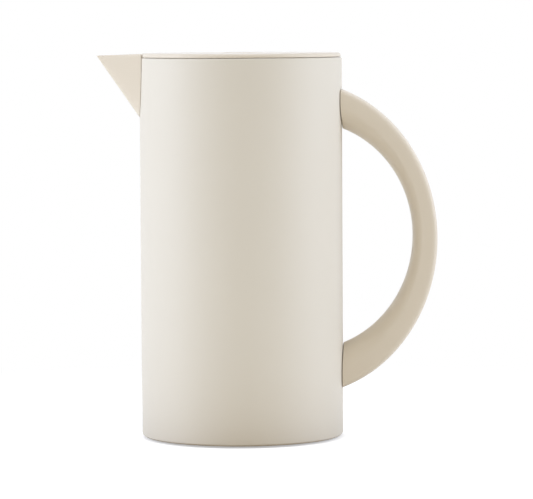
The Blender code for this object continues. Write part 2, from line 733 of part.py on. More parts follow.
def base_ring(parts, material):
    """Ring bonded inside the casing's foot, which the base cap screws into."""
    bottom = FOOT_TOP + GAP
    outline = rounded([
        (COLLAR_RADIUS, bottom + BASE_RING_HEIGHT),
        (COLLAR_RADIUS, bottom, FOOT_ROUND - CASING_WALL),
        (BASE_BORE, bottom),
        (BASE_BORE, bottom + BASE_RING_HEIGHT),
    ])
    return turned("base_ring", outline, BASE_FACETS, parts, material)


def base_cap(parts, material):
    """Screw-in cap with a flange, a recess for the pad and a cushion rim."""
    hub = BASE_BORE - RUNNING_GAP
    hub_inner = hub - BASE_CAP_HUB_WALL
    flange_radius = CASING_LIP_RADIUS - RUNNING_GAP
    recess = BASE_PAD_RADIUS + GAP
    rim = CUSHION_RADIUS + GAP
    hub_top = FOOT_TOP + BASE_CAP_HUB_HEIGHT
    rim_top = BASE_CAP_FLOOR_TOP + CUSHION_RIM_HEIGHT
    outline = rounded([
        (hub, hub_top, GAP),
        (hub, FOOT_TOP),
        (flange_radius, FOOT_TOP),
        (flange_radius, FOOT_HEIGHT, GAP),
        (recess, FOOT_HEIGHT),
        (recess, BASE_CAP_CEILING),
        (0, BASE_CAP_CEILING),
        (0, BASE_CAP_FLOOR_TOP),
        (rim, BASE_CAP_FLOOR_TOP),
        (rim, rim_top),
        (rim + CUSHION_RIM_WALL, rim_top),
        (rim + CUSHION_RIM_WALL, BASE_CAP_FLOOR_TOP),
        (hub_inner, BASE_CAP_FLOOR_TOP),
        (hub_inner, hub_top),
    ])
    return turned("base_cap", outline, BASE_FACETS, parts, material)


def base_pad(parts, material):
    """Soft disc that the jug stands on."""
    outline = rounded([
        (0, BASE_PAD_THICKNESS),
        (BASE_PAD_RADIUS, BASE_PAD_THICKNESS),
        (BASE_PAD_RADIUS, 0, BASE_PAD_ROUND),
        (0, 0),
    ])
    return turned("base_pad", outline, BASE_FACETS, parts, material)


def stopper_body(parts, cutters, material):
    """Hollow plug with the valve seat, a gasket groove and a pouring window."""
    groove = PLUG_RADIUS - GASKET_GROOVE_DEPTH
    groove_bottom = PLUG_BOTTOM + GASKET_GROOVE_RISE
    groove_top = groove_bottom + GASKET_GROOVE_HEIGHT
    floor_top = PLUG_BOTTOM + PLUG_FLOOR
    outline = rounded([
        (PLUG_RADIUS, PLUG_TOP),
        (PLUG_RADIUS, groove_top),
        (groove, groove_top),
        (groove, groove_bottom),
        (PLUG_RADIUS, groove_bottom),
        (PLUG_RADIUS, PLUG_BOTTOM, PLUG_ROUND),
        (SEAT_RADIUS, PLUG_BOTTOM),
        (SEAT_RADIUS, floor_top, PLUG_ROUND),
        (PLUG_BORE, floor_top, PLUG_ROUND),
        (PLUG_BORE, PLUG_TOP),
    ])
    piece = turned("stopper_body", outline, PLUG_FACETS, parts, material)
    sill = COLLAR_FLOOR_NECK + WINDOW_SILL
    window = block(
        "window_cutter",
        (-PLUG_RADIUS - OVERRUN, -WINDOW_HALF_WIDTH, sill),
        (-PLUG_RADIUS + 3 * OVERRUN, WINDOW_HALF_WIDTH, sill + WINDOW_HEIGHT),
        cutters,
        WINDOW_ROUND,
    )
    combine(piece, window, "DIFFERENCE")
    return piece


def stopper_gasket(parts, material):
    """Silicone ring with two lips, in the plug's groove."""
    inner = PLUG_RADIUS - GASKET_GROOVE_DEPTH + GAP
    outer = NECK_BORE_RADIUS - GAP
    bottom = PLUG_BOTTOM + GASKET_GROOVE_RISE + GAP
    top = bottom + GASKET_GROOVE_HEIGHT - 2 * GAP
    outline = [
        (outer - GASKET_LIP, top),
        (outer, top - GASKET_LIP),
        (outer - GASKET_LIP, (top + bottom) / 2),
        (outer, bottom + GASKET_LIP),
        (outer - GASKET_LIP, bottom),
        (inner, bottom),
        (inner, top),
    ]
    return turned("stopper_gasket", outline, PLUG_FACETS, parts, material)


def button_well(parts, material):
    """Cover of the plug, with the well that guides the button and stem."""
    flange_bottom = WELL_TOP - WELL_FLANGE
    spigot = PLUG_BORE - GAP
    spigot_bottom = flange_bottom - WELL_SPIGOT_LENGTH
    bottom = WELL_INSIDE_FLOOR - WELL_FLOOR
    gland = STEM_BORE + STEM_SEAL_WALL + GAP
    outline = rounded([
        (PLUG_RADIUS, WELL_TOP, GAP),
        (PLUG_RADIUS, flange_bottom),
        (spigot, flange_bottom),
        (spigot, spigot_bottom),
        (spigot - WELL_SPIGOT_WALL, spigot_bottom),
        (spigot - WELL_SPIGOT_WALL, flange_bottom),
        (WELL_RADIUS, flange_bottom),
        (WELL_RADIUS, bottom, PLUG_ROUND),
        (gland, bottom),
        (gland, bottom + STEM_SEAL_HEIGHT + GAP),
        (STEM_BORE, bottom + STEM_SEAL_HEIGHT + GAP),
        (STEM_BORE, WELL_INSIDE_FLOOR),
        (BUTTON_BORE, WELL_INSIDE_FLOOR),
        (BUTTON_BORE, WELL_TOP),
    ])
    return turned("button_well", outline, PLUG_FACETS, parts, material)


def lid_disc(parts, material):
    """Flat lid with a hole for the button, a boss and a locating skirt."""
    boss = BUTTON_BORE + LID_BOSS_WALL
    skirt = COLLAR_INNER_RADIUS - RUNNING_GAP
    outline = rounded([
        (LID_RADIUS, LID_TOP, LID_ROUND),
        (LID_RADIUS, LID_BOTTOM),
        (skirt, LID_BOTTOM),
        (skirt, LID_BOTTOM - LID_SKIRT_DEPTH),
        (skirt - LID_SKIRT_WALL, LID_BOTTOM - LID_SKIRT_DEPTH),
        (skirt - LID_SKIRT_WALL, LID_BOTTOM),
        (boss, LID_BOTTOM),
        (boss, LID_BOTTOM - LID_BOSS_DEPTH),
        (BUTTON_BORE, LID_BOTTOM - LID_BOSS_DEPTH),
        (BUTTON_BORE, LID_TOP, LID_ROUND / 2),
    ])
    return turned("lid_disc", outline, BODY_FACETS, parts, material)


def push_button(parts, material):
    """Flush cap with a guiding skirt and a socket for the stem."""
    boss = STEM_BORE + BUTTON_BOSS_WALL
    outline = rounded([
        (0, BUTTON_TOP_LEVEL),
        (BUTTON_RADIUS, BUTTON_TOP_LEVEL, BUTTON_ROUND),
        (BUTTON_RADIUS, BUTTON_TOP_LEVEL - BUTTON_SKIRT),
        (BUTTON_RADIUS - BUTTON_WALL, BUTTON_TOP_LEVEL - BUTTON_SKIRT),
        (BUTTON_RADIUS - BUTTON_WALL, BUTTON_CEILING),
        (boss, BUTTON_CEILING),
        (boss, BUTTON_CEILING - BUTTON_BOSS_LENGTH),
        (STEM_BORE, BUTTON_CEILING - BUTTON_BOSS_LENGTH),
        (STEM_BORE, BUTTON_CEILING - GAP),
        (0, BUTTON_CEILING - GAP),
    ])
    return turned("push_button", outline, BUTTON_FACETS, parts, material)


def stem_seal(parts, material):
    """Small ring that seals the stem in the well's floor."""
    bottom = WELL_INSIDE_FLOOR - WELL_FLOOR
    outline = [
        (STEM_BORE + STEM_SEAL_WALL, bottom + STEM_SEAL_HEIGHT),
        (STEM_BORE + STEM_SEAL_WALL, bottom),
        (STEM_BORE, bottom),
        (STEM_BORE, bottom + STEM_SEAL_HEIGHT),
    ]
    return turned("stem_seal", outline, SMALL_FACETS, parts, material)


def valve_stem(parts, material):
    """Steel rod between the button and the valve."""
    top = BUTTON_CEILING - 2 * GAP
    bottom = VALVE_SOCKET_FLOOR + GAP
    outline = [(0, top), (STEM_RADIUS, top), (STEM_RADIUS, bottom), (0, bottom)]
    return turned("valve_stem", outline, SMALL_FACETS, parts, material)


def valve_disc(parts, material):
    """Plate under the seat, with a socket for the stem."""
    boss = STEM_BORE + VALVE_BOSS_WALL
    spigot = VALVE_RADIUS - VALVE_SEAL_WIDTH - GAP
    outline = rounded([
        (0, VALVE_SOCKET_FLOOR),
        (STEM_BORE, VALVE_SOCKET_FLOOR),
        (STEM_BORE, VALVE_TOP + VALVE_BOSS_HEIGHT),
        (boss, VALVE_TOP + VALVE_BOSS_HEIGHT),
        (boss, VALVE_SEAL_TOP - GAP, PLUG_ROUND),
        (spigot, VALVE_SEAL_TOP - GAP),
        (spigot, VALVE_TOP),
        (VALVE_RADIUS, VALVE_TOP),
        (VALVE_RADIUS, VALVE_BOTTOM, PLUG_ROUND),
        (0, VALVE_BOTTOM),
    ])
    return turned("valve_disc", outline, SMALL_FACETS, parts, material)


def valve_seal(parts, material):
    """Silicone ring that the return spring pulls up against the seat."""
    inner = VALVE_RADIUS - VALVE_SEAL_WIDTH
    bottom = VALVE_TOP + GAP
    outline = [
        (VALVE_RADIUS, VALVE_SEAL_TOP),
        (VALVE_RADIUS, bottom),
        (inner, bottom),
        (inner, VALVE_SEAL_TOP),
    ]
    return turned("valve_seal", outline, SMALL_FACETS, parts, material)


def return_spring(parts, material):
    """Coil spring between the well's floor and the button."""
    bottom = WELL_INSIDE_FLOOR + GAP + SPRING_WIRE_RADIUS
    top = BUTTON_CEILING - GAP - SPRING_WIRE_RADIUS
    wire = bpy.data.curves.new("return_spring", "CURVE")
    wire.dimensions = "3D"
    wire.bevel_depth = SPRING_WIRE_RADIUS
    wire.bevel_resolution = 1
    wire.use_fill_caps = True
    steps = SPRING_TURNS * SPRING_POINTS_PER_TURN
    coil = wire.splines.new("POLY")
    coil.points.add(steps)
    for step in range(steps + 1):
        turn = 2 * math.pi * step / SPRING_POINTS_PER_TURN
        height = bottom + (top - bottom) * step / steps
        place_on_coil = (SPRING_RADIUS * math.cos(turn), SPRING_RADIUS * math.sin(turn), height, 1)
        coil.points[step].co = place_on_coil
    piece = bpy.data.objects.new("return_spring", wire)
    wire.materials.append(material)
    parts.objects.link(piece)
    return piece


def axis_empty(name, level, collection, pieces):
    """Empty on the jug's axis that carries the pieces that move together."""
    empty = bpy.data.objects.new(name, None)
    empty.location = (0, 0, level)
    collection.objects.link(empty)
    for piece in pieces:
        piece.parent = empty
        piece.matrix_parent_inverse = Matrix.Translation((0, 0, -level))
    return empty


def main():
    for leftover in list(bpy.data.objects):
        bpy.data.objects.remove(leftover)
    parts = new_collection("vacuum_jug")
    cutters = new_collection("cutters")

    paint = new_material("cream_paint", (0.77, 0.72, 0.63), 0.5, 0)
    cream = new_material("cream_plastic", (0.77, 0.72, 0.63), 0.55, 0)
    inner_plastic = new_material("inner_plastic", (0.55, 0.52, 0.47), 0.6, 0)
    base_plastic = new_material("base_plastic", (0.42, 0.4, 0.36), 0.6, 0)
    rubber = new_material("grey_rubber", (0.2, 0.2, 0.19), 0.85, 0)
    silicone = new_material("silicone", (0.8, 0.79, 0.76), 0.7, 0)
    glass = new_material("silvered_glass", (0.82, 0.83, 0.84), 0.08, 1)
    steel = new_material("steel", (0.6, 0.59, 0.57), 0.3, 1)

    levels = screw_levels()
    holes = [screw_hole(index + 1, level, cutters) for index, level in enumerate(levels)]
    channel = channel_cutter(cutters)
    notch = beak(
        "notch_cutter",
        SPOUT_SEAM,
        BODY_RADIUS - SPOUT_ROOT_INSET,
        BODY_RADIUS + OVERRUN,
        SPOUT_TOP + OVERRUN,
        cutters,
    )

    outer_casing(parts, paint, notch, holes)
    spout(parts, cutters, cream, channel)
    pour_collar(parts, cutters, cream, channel)
    handle(parts, cutters, cream, holes)
    handle_bracket("handle_bracket_upper", handle_end_level(1), parts, cutters, steel, holes[:2])
    handle_bracket("handle_bracket_lower", handle_end_level(-1), parts, cutters, steel, holes[2:])
    for index, level in enumerate(levels):
        handle_screw(index + 1, level, parts, steel)

    flask(parts, glass)
    flask_tip(parts, glass)
    for index in range(1, SPACER_COUNT + 1):
        flask_spacer(index, parts, silicone)
    neck_gasket(parts, silicone)
    flask_cushion(parts, rubber)
    base_ring(parts, inner_plastic)
    base_cap(parts, base_plastic)
    base_pad(parts, rubber)

    gasket = stopper_gasket(parts, silicone)
    turning = [
        stopper_body(parts, cutters, inner_plastic),
        button_well(parts, inner_plastic),
        lid_disc(parts, cream),
        stem_seal(parts, silicone),
        return_spring(parts, steel),
    ]
    pressed = [
        push_button(parts, cream),
        valve_stem(parts, steel),
        valve_disc(parts, inner_plastic),
        valve_seal(parts, silicone),
    ]
    axis_empty("lift_axis", PLUG_BOTTOM, parts, [gasket])
    axis_empty("turn_axis", LID_BOTTOM, parts, turning)
    axis_empty("press_axis", BUTTON_TOP_LEVEL, parts, pressed)


main()
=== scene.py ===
"""Vacuum jug: the pieces that show, their finishes and a plain studio.

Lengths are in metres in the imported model's frame. +Z is up, the spout points
along -X and the handle along +X. Each operator makes one piece or a few that
belong together, puts each on the body that carries it, and says which plain
solids it stands for.
"""

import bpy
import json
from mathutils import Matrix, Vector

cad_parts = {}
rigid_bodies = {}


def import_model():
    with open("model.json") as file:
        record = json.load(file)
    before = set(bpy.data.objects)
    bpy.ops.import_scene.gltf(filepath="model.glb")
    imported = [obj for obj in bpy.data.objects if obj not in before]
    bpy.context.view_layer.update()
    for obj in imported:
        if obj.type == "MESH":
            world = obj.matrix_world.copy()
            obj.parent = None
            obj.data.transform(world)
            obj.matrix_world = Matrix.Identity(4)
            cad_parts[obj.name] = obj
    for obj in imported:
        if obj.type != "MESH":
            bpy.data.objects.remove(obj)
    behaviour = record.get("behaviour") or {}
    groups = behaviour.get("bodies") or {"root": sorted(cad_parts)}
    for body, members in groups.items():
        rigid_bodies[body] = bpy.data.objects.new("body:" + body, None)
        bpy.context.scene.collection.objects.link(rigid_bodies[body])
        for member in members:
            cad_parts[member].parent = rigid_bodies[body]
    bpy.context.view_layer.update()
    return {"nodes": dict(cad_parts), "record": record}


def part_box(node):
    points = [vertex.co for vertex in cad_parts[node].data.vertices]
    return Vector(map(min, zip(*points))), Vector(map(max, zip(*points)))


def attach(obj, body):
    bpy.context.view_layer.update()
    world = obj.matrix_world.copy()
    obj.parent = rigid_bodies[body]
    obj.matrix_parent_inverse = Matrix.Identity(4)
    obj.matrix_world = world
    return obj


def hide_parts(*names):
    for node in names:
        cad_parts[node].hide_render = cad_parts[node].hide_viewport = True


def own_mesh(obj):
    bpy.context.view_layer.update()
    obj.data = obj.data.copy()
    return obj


bl_info = {
    "name": "Vacuum Jug",
    "version": (1, 0, 0),
    "blender": (4, 5, 0),
    "location": "3D View > Sidebar > Vacuum Jug",
    "description": "Dresses a vacuum jug's packed model with its finished pieces",
    "category": "Add Mesh",
}

import json
from math import acos, ceil, copysign, cos, pi, radians, sin, sqrt, tan

import bmesh
import bpy
import numpy as np
from mathutils import Matrix, Vector

for leftover in list(bpy.data.objects):
    bpy.data.objects.remove(leftover)

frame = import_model()

# Limits for the meshes
BODY_FACETS = 192
INNER_FACETS = 120
SMALL_FACETS = 64
CORNER_STEPS = 6
ROW_HEIGHT = 0.012
ON_AXIS = 1e-7
MERGE_DISTANCE = 1e-6
SHARP_ANGLE = radians(38)
FILLET_SHARE = 0.98
CUT_OVERRUN = 0.004
ARCH_STEPS = 22
BEAK_STATIONS = 26
SETTLING_ROUNDS = 8
HANDLE_RINGS = 112
HANDLE_SIDES = 26
SEAT_COLUMNS = 6
COIL_STEPS = 32
FLAT_TURN = 0.75
WIRE_SIDES = 12
WALL_FACING = 0.9
END_STEP = 0.995
THREAD_STEPS = 28
THREAD_FADE = 8
THREAD_SINK = 0.0006
THREAD_START = radians(-60)
DOME_STEPS = 22
SMALL_ROUND = 0.0002
FILM_WIDTH = 36

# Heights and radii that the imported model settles
CASING_LOW, CASING_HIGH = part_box("outer_casing")
LID_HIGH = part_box("lid_disc")[1]
SPOUT_LOW, SPOUT_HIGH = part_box("spout")
COLLAR_LOW, COLLAR_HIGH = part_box("pour_collar")
PLUG_LOW, PLUG_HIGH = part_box("stopper_body")
WELL_LOW, WELL_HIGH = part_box("button_well")
GASKET_LOW, GASKET_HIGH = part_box("stopper_gasket")
BUTTON_LOW, BUTTON_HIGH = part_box("push_button")
STEM_LOW, STEM_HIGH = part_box("valve_stem")
VALVE_LOW, VALVE_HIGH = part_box("valve_disc")
SEAL_LOW, SEAL_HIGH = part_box("valve_seal")
SPRING_LOW, SPRING_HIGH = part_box("return_spring")
FLASK_LOW, FLASK_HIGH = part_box("flask")
NECK_LOW, NECK_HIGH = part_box("neck_gasket")
CAP_LOW, CAP_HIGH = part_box("base_cap")
PAD_LOW, PAD_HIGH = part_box("base_pad")
BODY_RADIUS = CASING_HIGH.y
RIM_HEIGHT = CASING_HIGH.z
FOOT_HEIGHT = CASING_LOW.z
HANDLE_SCREWS = [f"handle_screw_{number}" for number in range(1, 5)]
FLASK_SPACERS = [f"flask_spacer_{number}" for number in range(1, 4)]


def labelled(group):
    """Label each property of a group with its own name."""
    for name, made in group.__annotations__.items():
        made.keywords["name"] = name.replace("_", " ").capitalize()
    return group


def length(description, default):
    """A property in metres."""
    return bpy.props.FloatProperty(
        description=description, default=default, subtype="DISTANCE", unit="LENGTH", precision=5
    )


def share(description, default):
    """A property that is a plain number."""
    return bpy.props.FloatProperty(description=description, default=default, precision=3)


def angle(description, degrees):
    """A property that is an angle."""
    return bpy.props.FloatProperty(
        description=description, default=radians(degrees), subtype="ANGLE", unit="ROTATION"
    )


def count(description, default):
    """A property that counts."""
    return bpy.props.IntProperty(description=description, default=default, min=1)


def colour(description, default):
    """A property that is a linear colour."""
    return bpy.props.FloatVectorProperty(
        description=description, default=default, size=3, min=0, max=1, subtype="COLOR"
    )


def part_of(kind):
    """A property that holds a group of settings."""
    return bpy.props.PointerProperty(type=kind)


@labelled
class CasingSettings(bpy.types.PropertyGroup):
    wall: length("Thickness of the casing's steel", 0.001)
    rim_round: length("Outer rounding of the rim", 0.0009)
    foot_round: length("Outer rounding of the rolled foot", 0.0022)
    foot_lip: length("How far the rolled foot reaches inwards", 0.002)
    seam: length("Gap between the casing's notch and the spout", 0.0004)


@labelled
class SpoutSettings(bpy.types.PropertyGroup):
    half_width: length("Half the spout's width at the casing", 0.0126)
    depth: length("Height of the spout at the casing", 0.0364)
    arch_share: share("Exponent that shapes the section's arch", 0.87)
    tip_share: share("Size of the tip's section against the one at the casing", 0.03)
    wall: length("Thickness of the spout's sides at the casing", 0.0021)
    channel_depth: length("Depth of the pouring channel at the casing", 0.0155)
    channel_setback: length("How far the channel ends before the tip", 0.0004)
    rim_round: length("Rounding of the top edges", 0.001)
    rim_fall: length("How much the top edges fall from the casing to the tip", 0.0007)
    groove_width: length("Width of the shadow groove beside the casing", 0.0002)
    groove_depth: length("Depth of that groove", 0.0005)
    flange_margin: length("How far the flange stands past the spout's outline", 0.003)
    flange_thickness: length("Thickness of the flange behind the casing", 0.0018)
    flange_gap: length("Room round the flange in the collar's pocket", 0.0003)


@labelled
class HandleSettings(bpy.types.PropertyGroup):
    root_drop: length("From the rim down to the top of the upper root", 0.0184)
    root_height: length("From the table up to the foot of the lower root", 0.0288)
    finger_gap: length("Clear distance between the casing and the grip", 0.0405)
    grip_thickness: length("Thickness of the grip at its middle", 0.0138)
    end_thickness: length("Difference of the two ellipses' half heights", 0.0246)
    outer_inset: length("Outer ellipse's centre, inside the casing's surface", 0.0255)
    inner_inset: length("Inner ellipse's centre, inside the casing's surface", 0.0208)
    inner_rise: length("How much higher the inner ellipse's centre lies", 0.0013)
    upper_half_width: length("Half the grip's width at its upper end", 0.0145)
    lower_half_width: length("Half the grip's width at its lower end", 0.0115)
    nose_share: share("How much of the section its nose takes up at the grip's middle", 0.35)
    end_nose_share: share("How much of the section its nose takes up at the ends", 0.6)
    nose_power: share("Exponent that rounds the section's nose at the grip's middle", 0.3)
    end_nose_power: share("Exponent that rounds the section's nose at the ends", 0.6)
    back_power: share("Exponent that flattens the section's back", 8.0)
    seat_gap: length("Gap between the handle's ends and the casing", 0.00045)
    end_round: length("Rounding of the edge where the handle meets the casing", 0.00025)
    screw_radius: length("Radius of the holes for the handle's screws", 0.0021)


@labelled
class CollarSettings(bpy.types.PropertyGroup):
    wall: length("Thickness of the collar's ring", 0.004)
    floor_thickness: length("Thickness of the sloping floor", 0.0024)
    floor_depth: length("From the collar's top to the floor's outer edge", 0.0145)
    floor_fall: length("How much the floor falls towards the neck", 0.006)
    neck_bore: length("Radius of the hole for the stopper", 0.024)
    neck_wall: length("Thickness of the neck tube", 0.003)
    edge_round: length("Rounding of the collar's edges", 0.0009)


@labelled
class ThreadSettings(bpy.types.PropertyGroup):
    starts: count("How many thread ribs the plug has", 3)
    level: length("Height of the lowest rib's lower end above the plug's foot", 0.0118)
    rise: length("How much one rib climbs", 0.0026)
    sweep: angle("How far round one rib goes", 74)
    rib_height: length("Height of a rib's section", 0.0017)
    rib_reach: length("How far a rib stands out of the plug", 0.00042)
    groove_depth: length("Depth of the matching grooves in the neck", 0.0005)
    groove_room: length("How much higher a groove is than its rib", 0.0004)


@labelled
class LidSettings(bpy.types.PropertyGroup):
    thickness: length("Thickness of the lid's disc", 0.0024)
    edge_round: length("Rounding of the lid's top edge", 0.0018)
    under_round: length("Rounding of the lid's lower edge", 0.0003)
    skirt_inset: length("From the lid's edge to its locating skirt", 0.0051)
    skirt_wall: length("Thickness of the locating skirt", 0.002)
    skirt_depth: length("How far the skirt reaches below the disc", 0.0022)
    boss_wall: length("Thickness of the boss round the button", 0.007)
    boss_depth: length("How far the boss reaches below the disc", 0.0025)
    button_gap: length("Gap round the button", 0.0004)


@labelled
class StopperSettings(bpy.types.PropertyGroup):
    plug_wall: length("Thickness of the plug's side", 0.0028)
    plug_floor: length("Thickness of the plug's floor round the seat", 0.0024)
    plug_round: length("Rounding of the plug's edges", 0.0006)
    seat_radius: length("Radius of the hole that the valve closes", 0.012)
    groove_depth: length("Depth of the gasket's groove", 0.0014)
    groove_gap: length("Room above and below the gasket in its groove", 0.0003)
    gasket_lip: length("How far the gasket's lips stand out", 0.0006)
    window_half_width: length("Half the width of the pouring window", 0.011)
    window_low: length("Height of the window's sill above the plug's foot", 0.0209)
    window_height: length("Height of the pouring window", 0.0095)
    window_round: length("Rounding of the window's corners", 0.002)
    well_wall: length("Thickness of the button well's side", 0.0018)
    well_floor: length("Thickness of the well's floor", 0.003)
    well_flange: length("Thickness of the plug's cover", 0.0022)
    spigot_wall: length("Thickness of the ring that centres the cover", 0.0017)
    spigot_length: length("Depth of the ring that centres the cover", 0.003)
    part_gap: length("Gap between parts that don't move on each other", 0.0003)
    stem_bore: length("Radius of the hole that guides the stem", 0.0023)
    gland_wall: length("Room for the stem's seal", 0.0022)
    gland_height: length("Height of the room for the stem's seal", 0.0019)


@labelled
class ButtonSettings(bpy.types.PropertyGroup):
    top: length("Thickness of the button's top", 0.002)
    wall: length("Thickness of the button's skirt", 0.0016)
    edge_round: length("Rounding of the button's edge", 0.0005)
    dish: length("Depth of the finger dish", 0.00035)
    dish_margin: length("Flat rim round the dish", 0.0016)
    boss_wall: length("Thickness of the stem's socket", 0.0018)
    boss_length: length("Depth of the stem's socket", 0.007)
    travel: length("How far the button goes down", 0.005)
    valve_boss_wall: length("Thickness of the valve's stem socket", 0.0022)
    valve_thickness: length("Thickness of the valve's plate", 0.003)
    valve_round: length("Rounding of the valve's edges", 0.0006)
    socket_depth: length("How deep the stem sits in the valve's plate", 0.001)
    seal_width: length("Width of the valve's silicone ring", 0.0028)
    wire_radius: length("Radius of the spring's wire", 0.00045)
    coils: count("Turns of the return spring", 5)


@labelled
class FlaskSettings(bpy.types.PropertyGroup):
    glass: length("Thickness of one glass wall", 0.0013)
    vacuum: length("Distance between the two walls", 0.0039)
    mouth_radius: length("Radius of the mouth", 0.022)
    mouth_gap: length("Distance between the walls in the neck", 0.0024)
    neck_length: length("Height of the straight neck", 0.0085)
    neck_round: length("Rounding between neck and shoulder", 0.0025)
    lip_depth: length("Glass above the space between the walls", 0.0022)
    lip_round: length("Rounding of the lip's edges", 0.0014)
    shoulder_height: length("Height of the rounded shoulder", 0.02)
    dome_height: length("Height of the rounded bottom", 0.024)
    tip_hole: length("Radius of the hole that the glass tip closes", 0.002)
    gasket_wall: length("Thickness of the neck gasket's skirt", 0.002)


@labelled
class BaseSettings(bpy.types.PropertyGroup):
    hub_wall: length("Thickness of the cap's threaded ring", 0.003)
    flange_height: length("Height of the cap's flange", 0.001)
    hub_radius: length("Radius of the cap's threaded ring", 0.0526)
    floor_thickness: length("Thickness of the cap's floor", 0.003)
    pad_gap: length("Room round the pad", 0.0003)
    cushion_rim: length("Inner radius of the ring that holds the cushion", 0.0243)
    cushion_wall: length("Thickness of that ring", 0.0022)
    cushion_rim_height: length("Height of that ring", 0.0032)
    edge_round: length("Rounding of the cap's edges", 0.0003)
    pad_round: length("Rounding of the pad's edge", 0.0004)
    pad_groove: length("Depth of the grooves under the pad", 0.0004)
    pad_grooves: count("How many round grooves the pad has", 4)


@labelled
class FinishSettings(bpy.types.PropertyGroup):
    paint: colour("The casing's matte paint", (0.725, 0.672, 0.572))
    plastic: colour("The spout, handle, lid and collar", (0.732, 0.650, 0.525))
    inner_plastic: colour("The stopper, well and base ring", (0.55, 0.52, 0.47))
    base_plastic: colour("The base cap", (0.42, 0.40, 0.36))
    rubber: colour("The pad and cushion under the flask", (0.20, 0.20, 0.19))
    silicone: colour("The gaskets and seals", (0.80, 0.79, 0.76))
    silvering: colour("The flask's silvered glass", (0.82, 0.83, 0.84))
    steel: colour("The stem, spring, brackets and screws", (0.60, 0.59, 0.57))


@labelled
class StudioSettings(bpy.types.PropertyGroup):
    focal_length: bpy.props.FloatProperty(
        description="Focal length on a 36 mm wide film", default=222.8, subtype="DISTANCE_CAMERA"
    )
    eye_distance: length("From the jug's axis to the camera", 1.8938)
    eye_height: length("Height of the camera above the table", 0.2390)
    yaw: angle("How far the camera looks towards the handle", 0.4313)
    pitch: angle("How far the camera looks down", 3.961)
    roll: angle("How far the camera leans", -0.314)
    floor_radius: length("Radius of the floor", 40.0)
    lamp_distance: length("From the jug to each lamp", 1.3)
    lamp_size: length("Width and height of each lamp", 0.8)
    lamp_height: angle("Angle of both side lamps above the horizon", 17)
    lamp_side: angle("Angle of each lamp away from the camera", 80)
    left_level: share("Light of the left lamp on a surface that faces it", 0.68)
    right_level: share("Light of the right lamp on a surface that faces it", 0.555)
    top_level: share("Light of the upper lamp on a surface that faces it", 0.42)
    top_height: angle("Angle of the upper lamp above the horizon", 89)
    lamp_colour: colour("Colour of the lamps", (0.70, 0.79, 1.0))
    front_sky: colour("Light of the surroundings behind the camera", (0.605, 0.545, 0.42))
    back_sky: colour("Light of the surroundings behind the jug", (0.43, 0.47, 0.55))
    # Painted shade: near the jug the floor sends back this dark colour as light, standing in for
    # the shade round the foot. It holds inside the first radius below and fades out by the second.
    painted_shade_bounce: colour("Colour that lights the jug from the floor beside it", (0.36, 0.28, 0.18))
    far_bounce: colour("Colour that lights the jug from the floor further off", (0.9, 0.86, 0.78))
    painted_shade_radius: length("Radius inside which the near bounce holds", 0.05)
    painted_shade_fade_radius: length("Radius outside which the far bounce holds", 0.125)
    floor_white: share("Whiteness of the floor as the camera sees it", 0.86)
    floor_glow: share("Light added to the floor for the camera", 0.45)
    floor_near: length("Radius inside which the floor is lit by the lamps alone", 0.12)
    floor_far: length("Radius outside which the floor is plain white", 0.4)


@labelled
class JugSettings(bpy.types.PropertyGroup):
    casing: part_of(CasingSettings)
    spout: part_of(SpoutSettings)
    handle: part_of(HandleSettings)
    collar: part_of(CollarSettings)
    thread: part_of(ThreadSettings)
    lid: part_of(LidSettings)
    stopper: part_of(StopperSettings)
    button: part_of(ButtonSettings)
    flask: part_of(FlaskSettings)
    base: part_of(BaseSettings)
    finish: part_of(FinishSettings)
    studio: part_of(StudioSettings)


# Shapes


def steps_to(end, steps):
    """Even steps from 0 to an end."""
    return [end * step / steps for step in range(steps + 1)]


def rounded(corners, usual=0):
    """Closed outline through (radius, height) corners; a third value rounds a corner.

    A corner without one gets the usual rounding, except on the axis.
    """
    corners = [
        corner if len(corner) > 2 else (*corner, usual * (corner[0] > 0)) for corner in corners
    ]
    around = [corners[-1], *corners, corners[0]]
    points = []
    for last, corner, following in zip(around, corners, around[2:]):
        here = Vector(corner[:2])
        fillet = corner[2]
        if not fillet:
            points.append(here)
            continue
        back = Vector(last[:2]) - here
        ahead = Vector(following[:2]) - here
        half_angle = back.angle(ahead) / 2
        room = min(
            side.length * fillet / (fillet + neighbour[2])
            for side, neighbour in ((back, last), (ahead, following))
        )
        tangent = min(fillet / tan(half_angle), FILLET_SHARE * room)
        radius = tangent * tan(half_angle)
        middle = (back.normalized() + ahead.normalized()).normalized()
        centre = here + middle * radius / sin(half_angle)
        start = here + back.normalized() * tangent - centre
        end = here + ahead.normalized() * tangent - centre
        for turn in steps_to(-start.angle_signed(end), CORNER_STEPS):
            points.append(centre + Matrix.Rotation(turn, 2) @ start)
    return points


def in_rows(outline, longest):
    """The outline with its long straight sides divided."""
    points = []
    for here, following in zip(outline, outline[1:] + outline[:1]):
        parts = max(1, ceil((following - here).length / longest))
        points += [here.lerp(following, part / parts) for part in range(parts)]
    return points


def add_object(name, shape):
    """Turn a bmesh into an object in the scene, smooth except at its sharp edges."""
    bmesh.ops.recalc_face_normals(shape, faces=shape.faces)
    mesh = bpy.data.meshes.new(name)
    shape.to_mesh(mesh)
    shape.free()
    smooth(mesh)
    return placed(name, mesh)


def placed(name, data):
    """A new object in the scene."""
    made = bpy.data.objects.new(name, data)
    bpy.context.scene.collection.objects.link(made)
    return made


def smooth(mesh):
    """Shade a mesh smooth except at its sharp edges."""
    mesh.shade_smooth()
    mesh.set_sharp_from_angle(angle=SHARP_ANGLE)


def join_loops(shape, near, far, closed=True):
    """Faces between two rows of vertices, which may share a pole."""
    for index in range(len(near) - (not closed)):
        following = (index + 1) % len(near)
        corners = (near[index], near[following], far[following], far[index])
        distinct = list(dict.fromkeys(corners))
        if len(distinct) > 2:
            shape.faces.new(distinct)


